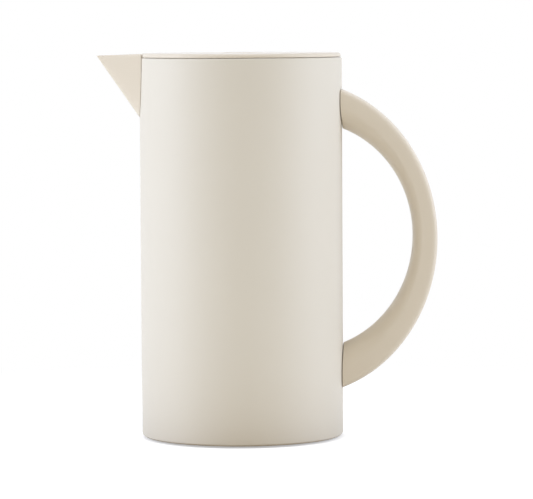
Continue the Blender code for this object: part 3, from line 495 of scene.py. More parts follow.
def turned(name, outline, facets=INNER_FACETS):
    """Turn a closed (radius, height) outline about the jug's axis."""
    shape = bmesh.new()
    loops = []
    for radius, height in outline:
        if radius < ON_AXIS:
            loops.append([shape.verts.new((0, 0, height))] * facets)
            continue
        turns = steps_to(2 * pi, facets)[:-1]
        loops.append([
            shape.verts.new((radius * cos(turn), radius * sin(turn), height)) for turn in turns
        ])
    for near, far in zip(loops, loops[1:] + loops[:1]):
        join_loops(shape, near, far)
    return add_object(name, shape)


def cylinder(name, radius, low, high):
    """A plain cutter on the jug's axis."""
    return turned(name, [(0, high), (radius, high), (radius, low), (0, low)], BODY_FACETS)


def skin(rings):
    """A bmesh with faces between rings of points, and the rings of its vertices."""
    shape = bmesh.new()
    loops = [[shape.verts.new(point) for point in ring] for ring in rings]
    for near, far in zip(loops, loops[1:]):
        join_loops(shape, near, far)
    return shape, loops


def lofted(name, rings):
    """Join closed rings of points, with flat faces at both ends."""
    shape, loops = skin(rings)
    shape.faces.new(loops[0])
    shape.faces.new(reversed(loops[-1]))
    return add_object(name, shape)


def combine(piece, *others, operation="DIFFERENCE"):
    """Cut other objects from a piece, or add them to it, and remove them."""
    for other in others:
        boolean = piece.modifiers.new(operation.lower(), "BOOLEAN")
        boolean.operation = operation
        boolean.solver = "EXACT"
        boolean.object = other
    bpy.context.view_layer.update()
    evaluated = piece.evaluated_get(bpy.context.evaluated_depsgraph_get())
    mesh = bpy.data.meshes.new_from_object(evaluated)
    piece.modifiers.clear()
    piece.data = mesh
    for other in others:
        bpy.data.objects.remove(other)
    shape = bmesh.new()
    shape.from_mesh(mesh)
    bmesh.ops.remove_doubles(shape, verts=shape.verts, dist=MERGE_DISTANCE)
    bmesh.ops.dissolve_degenerate(shape, edges=shape.edges, dist=MERGE_DISTANCE)
    shape.to_mesh(mesh)
    shape.free()
    smooth(mesh)
    return piece


def even_shading(piece):
    """Keep flat faces flat beside their rounded edges."""
    weighted = piece.modifiers.new("even shading", "WEIGHTED_NORMAL")
    weighted.keep_sharp = True
    return piece


def lathed(name, corners, facets=INNER_FACETS):
    """Turned piece with small roundings where its corners give none."""
    return even_shading(turned(name, rounded(corners, SMALL_ROUND), facets))


def finished(piece, body, slot, node):
    """Put a piece on its body with its finish, in place of a plain solid."""
    piece.data.materials.clear()
    piece.data.materials.append(FINISHES[slot])
    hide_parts(node)
    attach(piece, body)
    return piece


def rod(name, radius, start, end):
    """A round cutter between two points."""
    start = Vector(start)
    along = Vector(end) - start
    shape = bmesh.new()
    bmesh.ops.create_cone(
        shape, cap_ends=True, segments=SMALL_FACETS,
        radius1=radius, radius2=radius, depth=along.length,
    )
    turn = along.to_track_quat("Z", "Y").to_matrix().to_4x4()
    shape.transform(Matrix.Translation(start + along / 2) @ turn)
    return add_object(name, shape)


def screw_holes(handle):
    """Cutters for the handle's four screws, from inside the casing outwards."""
    cutters = []
    for screw in HANDLE_SCREWS:
        low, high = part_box(screw)
        level = (low.z + high.z) / 2
        start = (low.x - CUT_OVERRUN, 0, level)
        end = (high.x + handle.seat_gap, 0, level)
        cutters.append(rod(f"{screw}_hole", handle.screw_radius, start, end))
    return cutters


def round_walls(piece):
    """Exact normals for the upright walls round the jug's axis."""
    mesh = piece.data
    normals = np.zeros(len(mesh.loops) * 3, np.float32)
    mesh.corner_normals.foreach_get("vector", normals)
    normals = normals.reshape(-1, 3)
    for face in mesh.polygons:
        outward = Vector((face.center.x, face.center.y, 0)).normalized()
        facing = face.normal.dot(outward)
        if abs(facing) < WALL_FACING:
            continue
        for loop in face.loop_indices:
            place = mesh.vertices[mesh.loops[loop].vertex_index].co
            radial = Vector((place.x, place.y, 0)).normalized()
            normals[loop] = radial * copysign(1, facing)
    mesh.normals_split_custom_set(normals.tolist())


# Finishes


class Wire:
    """A node's output. Sums and products of wires and numbers add Math nodes."""

    def __init__(self, graph, socket):
        self.graph = graph
        self.socket = socket

    def calculate(self, operation, other):
        return self.graph.node("ShaderNodeMath", {"operation": operation}, {0: self, 1: other})

    def __add__(self, other):
        return self.calculate("ADD", other)

    def __mul__(self, other):
        return self.calculate("MULTIPLY", other)

    __radd__ = __add__
    __rmul__ = __mul__


class Graph:
    """The nodes of one material or of the world."""

    def __init__(self, owner):
        owner.use_nodes = True
        self.owner = owner
        self.tree = owner.node_tree

    def node(self, kind, settings=None, inputs=None, output=0):
        """Add a node, set it up, fill its sockets and return one of its outputs."""
        made = self.tree.nodes.new(kind)
        for name, value in (settings or {}).items():
            setattr(made, name, value)
        self.fill(made, inputs or {})
        return Wire(self, made.outputs[output])

    def fill(self, node, inputs):
        """Link or set a node's sockets."""
        for name, value in inputs.items():
            if isinstance(value, Wire):
                self.tree.links.new(value.socket, node.inputs[name])
            else:
                node.inputs[name].default_value = value

    def shade(self, inputs):
        """Fill the sockets of the material's Principled BSDF."""
        self.fill(self.tree.nodes["Principled BSDF"], inputs)
        return self.owner

    def show(self, output, surface):
        """Link a shader to the material's or world's output."""
        self.fill(self.tree.nodes[output], {"Surface": surface})

    def position(self, stretch=(1, 1, 1)):
        """Place on the piece in metres, stretched along its axes."""
        where = self.node("ShaderNodeTexCoord", output="Object")
        return self.node("ShaderNodeMapping", {}, {"Vector": where, "Scale": stretch})

    def noise(self, size, detail=2, stretch=(1, 1, 1)):
        """Noise around a half, in patches about size metres across."""
        inputs = {"Vector": self.position(stretch), "Scale": 1 / size, "Detail": detail}
        return self.node("ShaderNodeTexNoise", {}, inputs)

    def pits(self, size):
        """Rounded hollows about size metres across, 0 at their bottoms."""
        inputs = {"Vector": self.position(), "Scale": 1 / size}
        return self.node("ShaderNodeTexVoronoi", {"feature": "SMOOTH_F1"}, inputs)

    def relief(self, height, depth):
        """Surface normals for a height that runs over depth metres."""
        sockets = {"Height": height, "Strength": 1.0, "Distance": depth}
        return self.node("ShaderNodeBump", {}, sockets)

    def tinted(self, base, tone):
        """A colour made darker or lighter by a tone around 1."""
        return self.node("ShaderNodeVectorMath", {"operation": "SCALE"}, {0: base, "Scale": tone})

    def mixed(self, amount, first, second):
        """A mix of two colours."""
        inputs = {0: amount, 6: (*first, 1.0), 7: (*second, 1.0)}
        return self.node("ShaderNodeMix", {"data_type": "RGBA"}, inputs, output=2)


def new_finish(name):
    """An empty material and its graph."""
    return Graph(bpy.data.materials.new(name))


def matte_paint(base):
    """Baked matte paint on steel, with a very fine grain and a hardly uneven tone."""
    graph = new_finish("matte_cream_paint")
    cloud = graph.noise(size=0.05, detail=3)
    grain = graph.noise(size=0.00045)
    orange_peel = graph.noise(size=0.0022, detail=1)
    return graph.shade({
        "Base Color": graph.tinted(base, 0.984 + 0.022 * cloud + 0.01 * grain),
        "Roughness": 0.5 + 0.12 * grain,
        "Normal": graph.relief(0.55 * grain + 0.45 * orange_peel, depth=0.000016),
        "Specular IOR Level": 0.42,
    })


def moulded_plastic(name, base, roughness, pit_size):
    """Satin moulded plastic: a fine eroded texture from the mould and faint flow tones."""
    graph = new_finish(name)
    flow = graph.noise(size=0.03, stretch=(1, 1, 0.4))
    pits = graph.pits(size=pit_size)
    fine = graph.noise(size=pit_size / 2.2)
    return graph.shade({
        "Base Color": graph.tinted(base, 0.98 + 0.022 * flow + 0.016 * fine),
        "Roughness": roughness - 0.05 + 0.1 * fine,
        "Normal": graph.relief(0.7 * pits + 0.3 * fine, depth=0.000014),
        "Specular IOR Level": 0.45,
        "Sheen Weight": 0.3,
        "Sheen Roughness": 0.3,
    })


def silicone_rubber(name, base):
    """Soft silicone with a satin skin."""
    graph = new_finish(name)
    cloud = graph.noise(size=0.006)
    film = graph.noise(size=0.0007)
    return graph.shade({
        "Base Color": graph.tinted(base, 0.97 + 0.04 * cloud + 0.02 * film),
        "Roughness": 0.52 + 0.14 * film,
        "Normal": graph.relief(film, depth=0.000012),
        "Subsurface Weight": 0.12,
        "Subsurface Radius": (0.0012, 0.001, 0.0008),
    })


def cast_rubber(base):
    """Dull rubber with a crumbly grain, lighter dust patches and painted shade in the grain's
    hollows.
    """
    graph = new_finish("grey_base_rubber")
    crumbs = graph.pits(size=0.0011)
    dust = graph.noise(size=0.009, detail=4)
    dust_and_lit_rims = tuple(min(1, channel * 1.5 + 0.02) for channel in base)
    return graph.shade({
        # Random dust patches and the crumbs' rims take the lighter tone. The crumbs' hollows keep
        # the darker base colour as painted shade.
        "Base Color": graph.mixed(0.35 * dust + 0.25 * crumbs, base, dust_and_lit_rims),
        "Roughness": 0.82 + 0.12 * dust,
        "Normal": graph.relief(crumbs, depth=0.00003),
    })


def silvered_glass(base):
    """Silvered glass: a bright mirror under hardly wavy blown glass."""
    graph = new_finish("silvered_flask_glass")
    wave = graph.noise(size=0.02, detail=1)
    haze = graph.noise(size=0.008, detail=4)
    return graph.shade({
        "Base Color": graph.tinted(base, 0.96 + 0.06 * haze),
        "Metallic": 1.0,
        "Roughness": 0.05 + 0.09 * haze,
        "Normal": graph.relief(wave, depth=0.00012),
        "Coat Weight": 1.0,
        "Coat Roughness": 0.03,
        "Coat IOR": 1.5,
    })


def drawn_steel(base):
    """Stainless wire and sheet, with fine lines from rolling."""
    graph = new_finish("drawn_steel")
    lines = graph.noise(size=0.0004, detail=3, stretch=(1, 1, 0.06))
    smear = graph.noise(size=0.004)
    return graph.shade({
        "Base Color": graph.tinted(base, 0.93 + 0.1 * lines + 0.04 * smear),
        "Metallic": 1.0,
        "Roughness": 0.24 + 0.16 * lines,
        "Normal": graph.relief(lines, depth=0.000006),
    })


FINISHES = {}


def make_finishes(finish):
    """One material for each slot of the record."""
    FINISHES.update({
        "cream_paint": matte_paint(finish.paint),
        "cream_plastic": moulded_plastic("satin_cream_plastic", finish.plastic, 0.5, 0.0007),
        "inner_plastic": moulded_plastic("satin_inner_plastic", finish.inner_plastic, 0.48, 0.0009),
        "base_plastic": moulded_plastic("satin_base_plastic", finish.base_plastic, 0.55, 0.0012),
        "grey_rubber": cast_rubber(finish.rubber),
        "silicone": silicone_rubber("pale_silicone", finish.silicone),
        "silvered_glass": silvered_glass(finish.silvering),
        "steel": drawn_steel(finish.steel),
    })


def dressed(*nodes):
    """Give carried-over solids the finish of their own slot."""
    slots = {row["node"]: row["material_slot"] for row in frame["record"]["subparts"]}
    for node in nodes:
        solid = frame["nodes"][node]
        for slot in solid.material_slots:
            slot.material = FINISHES[slots[node]]


# Pieces


def casing_shell(casing, spout, handle):
    """Steel casing with a rounded rim, a rolled foot and a notch for the spout."""
    bore = BODY_RADIUS - casing.wall
    lip = bore - casing.foot_lip
    foot_top = FOOT_HEIGHT + casing.wall
    outline = rounded([
        (BODY_RADIUS, RIM_HEIGHT, casing.rim_round),
        (BODY_RADIUS, FOOT_HEIGHT, casing.foot_round),
        (lip, FOOT_HEIGHT, casing.wall / 4),
        (lip, foot_top, casing.wall / 4),
        (bore, foot_top, casing.foot_round - casing.wall),
        (bore, RIM_HEIGHT, casing.rim_round / 10),
    ])
    piece = turned("casing_shell", in_rows(outline, ROW_HEIGHT), BODY_FACETS)
    notch = arch_block("casing_notch", spout, beak_sections(spout, casing.seam))
    combine(piece, notch, *screw_holes(handle))
    round_walls(piece)
    return piece


def arch(spout, half_width, depth):
    """Round arch upside down, as (across, drop) pairs from one side to the other."""
    pairs = []
    for turn in steps_to(pi, 2 * ARCH_STEPS):
        side = half_width * abs(cos(turn)) ** spout.arch_share
        pairs.append((copysign(side, -cos(turn)), depth * sin(turn)))
    return pairs


def beak_scale(spout, radius):
    """Size of the spout's section at a distance from the axis, against the casing's."""
    reach = -SPOUT_LOW.x - BODY_RADIUS
    return 1 - (radius - BODY_RADIUS) * (1 - spout.tip_share) / reach


def channel_scale(spout, radius):
    """Size of the channel's section, which stays the same inside the casing."""
    reach = -SPOUT_LOW.x - BODY_RADIUS - spout.channel_setback
    return 1 - np.maximum(radius - BODY_RADIUS, 0) * (1 - spout.tip_share) / reach


def beak_sections(spout, grow):
    """Outlines of the spout, grown by a gap, inside and outside the casing's wall."""
    sections = []
    for radius in (BODY_RADIUS - 2 * CUT_OVERRUN, BODY_RADIUS + CUT_OVERRUN):
        scale = beak_scale(spout, radius)
        sections.append((radius, spout.half_width * scale + grow, spout.depth * scale + grow))
    return sections


def arch_block(name, spout, sections):
    """Solid cutter through (radius, half width, depth) sections, open to the top."""
    rings = []
    top = SPOUT_HIGH.z + CUT_OVERRUN
    for radius, half_width, depth in sections:
        ring = [
            (-radius, across, SPOUT_HIGH.z - drop)
            for across, drop in arch(spout, half_width, depth)
        ]
        rings.append(ring + [(-radius, half_width, top), (-radius, -half_width, top)])
    return lofted(name, rings)


def gutter(name, rings, arch_points):
    """Join rings whose outer and inner arches run side by side, and close both ends."""
    shape, loops = skin(rings)
    for loop in (loops[0], loops[-1]):
        rim_points = len(loop) // 2 - arch_points
        outer = loop[:arch_points]
        inner = loop[arch_points + rim_points:2 * arch_points + rim_points][::-1]
        join_loops(shape, outer, inner, closed=False)
        if rim_points:
            shape.faces.new([outer[-1], *loop[arch_points:arch_points + rim_points], inner[-1]])
            shape.faces.new([inner[0], *loop[2 * arch_points + rim_points:], outer[0]])
    return add_object(name, shape)


def gutter_table(spout):
    """Points round the spout's section at the casing, with their place on the rims.

    The columns are across, drop, whether the point is on the channel's side,
    and the turn of a rim's rounding.
    """
    channel = spout.half_width - spout.wall
    outer = [(across, drop, 0, 0) for across, drop in arch(spout, spout.half_width, spout.depth)]
    inner = [(across, drop, 1, 0) for across, drop in arch(spout, channel, spout.channel_depth)]
    turns = steps_to(pi / 2, CORNER_STEPS)[1:]
    near_rim = [(spout.half_width, 0, 0, turn) for turn in turns]
    near_rim += [(channel, 0, 1, turn) for turn in reversed(turns)]
    far_rim = [(-channel, 0, 1, turn) for turn in turns]
    far_rim += [(-spout.half_width, 0, 0, turn) for turn in reversed(turns)]
    return np.array(outer + near_rim + inner[::-1] + far_rim)


def gutter_section(spout, table, radii):
    """Across and drop of every point of the section, each at its own radius."""
    across, drop, inner, turn = table.T
    outer_scale = beak_scale(spout, radii)
    inner_scale = channel_scale(spout, radii)
    wall = spout.half_width * outer_scale - (spout.half_width - spout.wall) * inner_scale
    fillet = np.minimum(spout.rim_round, FILLET_SHARE / 2 * wall)
    scale = np.where(inner > 0, inner_scale, outer_scale)
    lean = np.where(inner > 0, 1, -1) * np.sign(across)
    at_rim = across * scale + lean * fillet * (1 - np.cos(turn))
    fall = spout.rim_fall * np.maximum(1 - outer_scale, 0) * (1 - drop / spout.depth)
    return at_rim, fall + np.maximum(drop * scale, fillet * (1 - np.sin(turn)))


def spout_beak(spout, casing):
    """Beak with a rounded rim round its channel, and the flange behind the casing."""
    table = gutter_table(spout)
    root = COLLAR_HIGH.y - spout.flange_thickness + spout.flange_gap / 2
    starts = np.full(len(table), root)
    for _ in range(SETTLING_ROUNDS):
        across, _ = gutter_section(spout, table, starts)
        starts = np.sqrt(root ** 2 - across ** 2)
    rings = []
    for station in range(BEAK_STATIONS + 1):
        radii = starts + (-SPOUT_LOW.x - starts) * station / BEAK_STATIONS
        across, drop = gutter_section(spout, table, radii)
        rings.append([(-x, y, SPOUT_HIGH.z - z) for x, y, z in zip(radii, across, drop)])
    arch_points = 2 * ARCH_STEPS + 1
    piece = gutter("spout_beak", rings, arch_points)
    combine(piece, spout_flange(spout, arch_points), operation="UNION")
    lid_room = LID_HIGH.y + casing.seam
    lid_cutter = cylinder("lid_room", lid_room, COLLAR_HIGH.z, SPOUT_HIGH.z + CUT_OVERRUN)
    combine(piece, lid_cutter, seam_groove(spout))
    return even_shading(piece)


def seam_groove(spout):
    """Cutter for the narrow groove in the spout's sides where they leave the casing."""
    far = BODY_RADIUS + spout.groove_width
    near = BODY_RADIUS - CUT_OVERRUN / 4
    top = SPOUT_HIGH.z + CUT_OVERRUN
    low = SPOUT_LOW.z - CUT_OVERRUN
    groove = turned("seam_groove", [(far, top), (far, low), (near, low), (near, top)], BODY_FACETS)
    core = arch_block("seam_core", spout, beak_sections(spout, -spout.groove_depth))
    return combine(groove, core)


def spout_flange(spout, arch_points):
    """Curved plate round the spout's root, between the casing and the collar."""
    outer_radius = COLLAR_HIGH.y
    inner_radius = outer_radius - spout.flange_thickness
    scale = beak_scale(spout, outer_radius)
    half_width = spout.half_width * scale + spout.flange_margin
    depth = spout.depth * scale + spout.flange_margin
    outside = arch(spout, half_width, depth)
    channel = spout.half_width - spout.wall / 2
    inside = arch(spout, channel, spout.channel_depth + spout.wall / 2)
    rings = []
    for radius in (inner_radius, outer_radius):
        ring = outside + inside[::-1]
        rings.append([(-sqrt(radius ** 2 - y ** 2), y, SPOUT_HIGH.z - z) for y, z in ring])
    return gutter("spout_flange", rings, arch_points)


def collar_bowl(collar, spout, thread):
    """Ring, sloping floor and neck tube, with the spout's pocket and thread grooves."""
    inner = COLLAR_HIGH.y - collar.wall
    neck_tube = collar.neck_bore + collar.neck_wall
    edge = COLLAR_HIGH.z - collar.floor_depth
    under_edge = edge - collar.floor_thickness
    slope = collar.floor_fall / (inner - collar.neck_bore)
    outline = rounded([
        (COLLAR_HIGH.y, COLLAR_HIGH.z, collar.edge_round),
        (COLLAR_HIGH.y, under_edge),
        (inner, under_edge, collar.edge_round),
        (neck_tube, under_edge - slope * (inner - neck_tube), collar.edge_round),
        (neck_tube, COLLAR_LOW.z, collar.edge_round / 3),
        (collar.neck_bore, COLLAR_LOW.z, collar.edge_round / 3),
        (collar.neck_bore, edge - collar.floor_fall, collar.edge_round),
        (inner, edge, 2 * collar.edge_round),
        (inner, COLLAR_HIGH.z, collar.edge_round / 2),
    ])
    piece = turned("collar_bowl", in_rows(outline, ROW_HEIGHT), INNER_FACETS)
    margin = spout.flange_margin + spout.flange_gap
    pocket = arch_block("spout_pocket", spout, beak_sections(spout, margin))
    pocket_radius = COLLAR_HIGH.y - spout.flange_thickness - spout.flange_gap
    core = cylinder(
        "pocket_core", pocket_radius, COLLAR_LOW.z - CUT_OVERRUN, RIM_HEIGHT + 4 * CUT_OVERRUN
    )
    combine(pocket, core)
    channel = (spout.half_width - spout.wall, spout.channel_depth)
    sections = [(inner - CUT_OVERRUN, *channel), (BODY_RADIUS + CUT_OVERRUN, *channel)]
    depth, room = thread.groove_depth, thread.groove_room
    grooves = thread_strips("thread_groove", thread, collar.neck_bore, depth, room)
    combine(piece, pocket, arch_block("collar_channel", spout, sections), *grooves)
    return even_shading(piece)


def thread_strips(name, thread, base_radius, reach, room):
    """Helical strips of the quick thread, each a closed bar that fades at its ends."""
    strips = []
    bottom = PLUG_LOW.z + thread.level
    for start in range(thread.starts):
        rings = []
        for along in steps_to(1, THREAD_STEPS):
            turn = 2 * pi * start / thread.starts + THREAD_START + thread.sweep * along
            fade = min(1, along * THREAD_FADE, (1 - along) * THREAD_FADE)
            level = bottom + thread.rise * along
            half = (thread.rib_height + room) / 2
            outer = base_radius + reach * fade
            section = (
                (base_radius - THREAD_SINK, level - half),
                (base_radius, level - half),
                (outer, level - half / 2),
                (outer, level + half / 2),
                (base_radius, level + half),
                (base_radius - THREAD_SINK, level + half),
            )
            rings.append([(r * cos(turn), r * sin(turn), z) for r, z in section])
        strips.append(lofted(f"{name}_{start}", rings))
    return strips


def handle_grip(handle):
    """Crescent grip with a round nose and a flat back, its ends shaped to the round casing."""
    seat = BODY_RADIUS + handle.seat_gap
    outer_x = BODY_RADIUS - handle.outer_inset
    inner_x = BODY_RADIUS - handle.inner_inset
    outer_reach = handle.outer_inset + handle.finger_gap + handle.grip_thickness
    inner_reach = handle.inner_inset + handle.finger_gap
    half_span = (RIM_HEIGHT - handle.root_drop - handle.root_height) / 2
    middle = handle.root_height + half_span
    outer_rise = half_span / sqrt(1 - (handle.outer_inset / outer_reach) ** 2)
    inner_rise = outer_rise - handle.end_thickness

    turns = pi * np.arange(2 * HANDLE_SIDES) / HANDLE_SIDES
    across = (1 - np.cos(turns)) / 2
    side = np.sign(np.sin(turns))
    side[::HANDLE_SIDES] = 0
    centre_x = inner_x + (outer_x - inner_x) * across
    reach_x = inner_reach + (outer_reach - inner_reach) * across
    centre_z = middle + handle.inner_rise * (1 - across)
    reach_z = inner_rise + (outer_rise - inner_rise) * across

    def ring(place):
        end_width = handle.upper_half_width if place > 0 else handle.lower_half_width
        end_x = np.sqrt(seat ** 2 - (end_width * grip_fullness(handle, across, 1)) ** 2)
        turn = place * np.arccos((end_x - centre_x) / reach_x)
        upper_share = (1 + place) / 2
        upper_width = handle.upper_half_width * upper_share
        half_width = upper_width + handle.lower_half_width * (1 - upper_share)
        y = half_width * side * grip_fullness(handle, across, place)
        x, z = centre_x + reach_x * np.cos(turn), centre_z + reach_z * np.sin(turn)
        return np.stack([x, y, z], axis=1)

    trim = handle.end_round / (middle * 2)
    places = np.linspace(1 - trim, trim - 1, HANDLE_RINGS)
    rings = [*rounded_end(ring, 1, handle.end_round, seat)[::-1]]
    rings += [ring(place) for place in places[1:-1]]
    rings += rounded_end(ring, -1, handle.end_round, seat)
    piece = crescent("handle_grip", rings, seat)
    combine(piece, *screw_holes(handle))
    return even_shading(piece)


def grip_fullness(handle, across, place):
    """Width of the grip's section between its inner and outer edge, against its greatest."""
    power = handle.nose_power + (handle.end_nose_power - handle.nose_power) * place ** 2
    nose_share = handle.nose_share + (handle.end_nose_share - handle.nose_share) * place ** 2
    nose = np.minimum(across / nose_share, 1)
    back = np.maximum(across - nose_share, 0) / (1 - nose_share)
    flat = np.maximum(1 - back ** handle.back_power, 0) ** (1 / handle.back_power)
    return (1 - (1 - nose) ** 2) ** power * flat


def rounded_end(ring, end, fillet, seat):
    """Rings that round the edge at one end of the handle, towards its seat."""
    edge = ring(end)
    along = ring(end * END_STEP) - edge
    along /= np.linalg.norm(along, axis=1)[:, None]
    inward = edge.mean(axis=0) - edge
    radial = edge * (1, 1, 0)
    radial /= np.linalg.norm(radial, axis=1)[:, None]
    inward -= radial * (inward * radial).sum(axis=1)[:, None]
    inward /= np.linalg.norm(inward, axis=1)[:, None]
    rings = []
    for turn in steps_to(pi / 2, CORNER_STEPS):
        rings.append(edge + fillet * (along * (1 - sin(turn)) + inward * (1 - cos(turn))))
    return rings


def crescent(name, rings, seat):
    """Join the handle's rings and close both ends with rows that follow the seat."""
    shape, loops = skin(rings)
    for loop in (loops[0], loops[-1]):
        rows = []
        for index in range(HANDLE_SIDES + 1):
            left = loop[index]
            right = loop[-index]
            if left is right or index == HANDLE_SIDES:
                rows.append([left] * (SEAT_COLUMNS + 1))
                continue
            row = [left]
            for column in range(1, SEAT_COLUMNS):
                place = left.co.lerp(right.co, column / SEAT_COLUMNS)
                row.append(shape.verts.new((sqrt(seat ** 2 - place.y ** 2), place.y, place.z)))
            rows.append(row + [right])
        for near, far in zip(rows, rows[1:]):
            join_loops(shape, near, far, closed=False)
    return add_object(name, shape)


def lid_top(lid):
    """Flat lid with a soft edge, a locating skirt and a boss round the button."""
    bottom = LID_HIGH.z - lid.thickness
    skirt = LID_HIGH.y - lid.skirt_inset
    skirt_foot = bottom - lid.skirt_depth
    bore = BUTTON_HIGH.y + lid.button_gap
    boss = bore + lid.boss_wall
    boss_foot = bottom - lid.boss_depth
    return lathed("lid_top", [
        (LID_HIGH.y, LID_HIGH.z, lid.edge_round),
        (LID_HIGH.y, bottom, lid.under_round),
        (skirt, bottom),
        (skirt, skirt_foot, lid.under_round),
        (skirt - lid.skirt_wall, skirt_foot, lid.under_round),
        (skirt - lid.skirt_wall, bottom),
        (boss, bottom, lid.under_round),
        (boss, boss_foot, lid.under_round),
        (bore, boss_foot, lid.under_round),
        (bore, LID_HIGH.z, lid.under_round),
    ], BODY_FACETS)


def button_cap(button, stopper):
    """Flush button with a shallow dish for the finger and a socket for the stem."""
    top = BUTTON_HIGH.z
    ceiling = top - button.top
    dish_radius = BUTTON_HIGH.y - button.dish_margin
    dish = []
    for along in steps_to(1, DOME_STEPS):
        fall = button.dish * (1 + cos(pi * along)) / 2
        dish.append((dish_radius * along, top - fall, 0))
    boss = stopper.stem_bore + button.boss_wall
    boss_foot = ceiling - button.boss_length
    inside = BUTTON_HIGH.y - button.wall
    return lathed("button_cap", [
        *dish,
        (BUTTON_HIGH.y, top, button.edge_round),
        (BUTTON_HIGH.y, BUTTON_LOW.z, button.edge_round),
        (inside, BUTTON_LOW.z),
        (inside, ceiling, button.edge_round),
        (boss, ceiling, button.edge_round),
        (boss, boss_foot),
        (stopper.stem_bore, boss_foot),
        (stopper.stem_bore, ceiling - stopper.part_gap, 0),
        (0, ceiling - stopper.part_gap),
    ], SMALL_FACETS)


def window_block(stopper):
    """Cutter for the plug's pouring window, with rounded corners."""
    low = PLUG_LOW.z + stopper.window_low
    half = stopper.window_half_width
    corners = rounded([
        (half, low, stopper.window_round),
        (half, low + stopper.window_height, stopper.window_round),
        (-half, low + stopper.window_height, stopper.window_round),
        (-half, low, stopper.window_round),
    ])
    near = -PLUG_HIGH.y - CUT_OVERRUN
    far = stopper.seat_radius - PLUG_HIGH.y
    return lofted("window", [[(x, y, z) for y, z in corners] for x in (near, far)])


def stopper_plug(stopper, thread):
    """Hollow plug with its seat, gasket groove, pouring window and quick thread."""
    radius = PLUG_HIGH.y
    bore = radius - stopper.plug_wall
    floor_top = PLUG_LOW.z + stopper.plug_floor
    groove = radius - stopper.groove_depth
    groove_low = GASKET_LOW.z - stopper.groove_gap
    groove_high = GASKET_HIGH.z + stopper.groove_gap
    outline = rounded([
        (radius, PLUG_HIGH.z),
        (radius, groove_high),
        (groove, groove_high),
        (groove, groove_low),
        (radius, groove_low),
        (radius, PLUG_LOW.z, stopper.plug_round),
        (stopper.seat_radius, PLUG_LOW.z),
        (stopper.seat_radius, floor_top, stopper.plug_round),
        (bore, floor_top, stopper.plug_round),
        (bore, PLUG_HIGH.z),
    ], SMALL_ROUND)
    piece = turned("stopper_plug", outline)
    ribs = thread_strips("thread_rib", thread, radius, thread.rib_reach, 0)
    combine(piece, *ribs, operation="UNION")
    combine(piece, window_block(stopper))
    return even_shading(piece)


def well_cover(stopper, lid):
    """Cover of the plug, with the well that guides the button and stem."""
    flange_foot = WELL_HIGH.z - stopper.well_flange
    spigot = PLUG_HIGH.y - stopper.plug_wall - stopper.part_gap
    spigot_foot = flange_foot - stopper.spigot_length
    bore = BUTTON_HIGH.y + lid.button_gap
    well = bore + stopper.well_wall
    gland = stopper.stem_bore + stopper.gland_wall
    gland_top = WELL_LOW.z + stopper.gland_height
    inside_floor = WELL_LOW.z + stopper.well_floor
    return lathed("well_cover", [
        (WELL_HIGH.y, WELL_HIGH.z, stopper.part_gap),
        (WELL_HIGH.y, flange_foot),
        (spigot, flange_foot),
        (spigot, spigot_foot),
        (spigot - stopper.spigot_wall, spigot_foot),
        (spigot - stopper.spigot_wall, flange_foot),
        (well, flange_foot, stopper.plug_round),
        (well, WELL_LOW.z, stopper.plug_round),
        (gland, WELL_LOW.z),
        (gland, gland_top),
        (stopper.stem_bore, gland_top),
        (stopper.stem_bore, inside_floor),
        (bore, inside_floor),
        (bore, WELL_HIGH.z, stopper.part_gap),
    ])


def lip_gasket(stopper):
    """Silicone ring with two rounded lips, in the plug's groove."""
    inner = PLUG_HIGH.y - stopper.groove_depth + stopper.part_gap
    outer = GASKET_HIGH.y
    root = outer - stopper.gasket_lip
    middle = (GASKET_LOW.z + GASKET_HIGH.z) / 2
    lip_round = stopper.gasket_lip / 2
    outline = rounded([
        (root, GASKET_HIGH.z, lip_round),
        (outer, GASKET_HIGH.z - stopper.gasket_lip, lip_round),
        (root, middle, lip_round),
        (outer, GASKET_LOW.z + stopper.gasket_lip, lip_round),
        (root, GASKET_LOW.z, lip_round),
        (inner, GASKET_LOW.z, lip_round),
        (inner, GASKET_HIGH.z, lip_round),
    ])
    return turned("lip_gasket", outline)


def steel_stem(button):
    """Stem with bevelled ends and a snap groove for each of its sockets."""
    radius = STEM_HIGH.y
    neck = radius - button.wire_radius
    bevel = button.wire_radius
    outline = [(0, STEM_HIGH.z), (radius - bevel, STEM_HIGH.z), (radius, STEM_HIGH.z - bevel)]
    for level in (STEM_HIGH.z - button.boss_length / 2, VALVE_HIGH.z - button.valve_thickness):
        outline += [
            (radius, level + bevel),
            (neck, level + bevel / 2),
            (neck, level - bevel / 2),
            (radius, level - bevel),
        ]
    outline += [(radius, STEM_LOW.z + bevel), (radius - bevel, STEM_LOW.z), (0, STEM_LOW.z)]
    return turned("steel_stem", outline, SMALL_FACETS)


def valve_plate(button, stopper):
    """Plate under the seat with a spigot for its ring and a socket for the stem."""
    top = VALVE_LOW.z + button.valve_thickness
    boss = stopper.stem_bore + button.valve_boss_wall
    spigot = VALVE_HIGH.y - button.seal_width - stopper.part_gap
    spigot_top = SEAL_HIGH.z - stopper.part_gap
    return lathed("valve_plate", [
        (0, top - button.socket_depth),
        (stopper.stem_bore, top - button.socket_depth, 0),
        (stopper.stem_bore, VALVE_HIGH.z),
        (boss, VALVE_HIGH.z),
        (boss, spigot_top, button.valve_round),
        (spigot, spigot_top),
        (spigot, top),
        (VALVE_HIGH.y, top),
        (VALVE_HIGH.y, VALVE_LOW.z, button.valve_round),
        (0, VALVE_LOW.z),
    ], SMALL_FACETS)


def valve_ring(button):
    """Silicone ring with a raised bead that meets the seat."""
    inner = SEAL_HIGH.y - button.seal_width
    middle = SEAL_HIGH.y - button.seal_width / 2
    shoulder = SEAL_HIGH.z - button.wire_radius
    outline = rounded([
        (SEAL_HIGH.y, shoulder),
        (SEAL_HIGH.y, SEAL_LOW.z),
        (inner, SEAL_LOW.z),
        (inner, shoulder),
        (middle - button.wire_radius, shoulder),
        (middle, SEAL_HIGH.z, button.wire_radius),
        (middle + button.wire_radius, shoulder),
    ], SMALL_ROUND)
    return turned("valve_ring", outline, SMALL_FACETS)


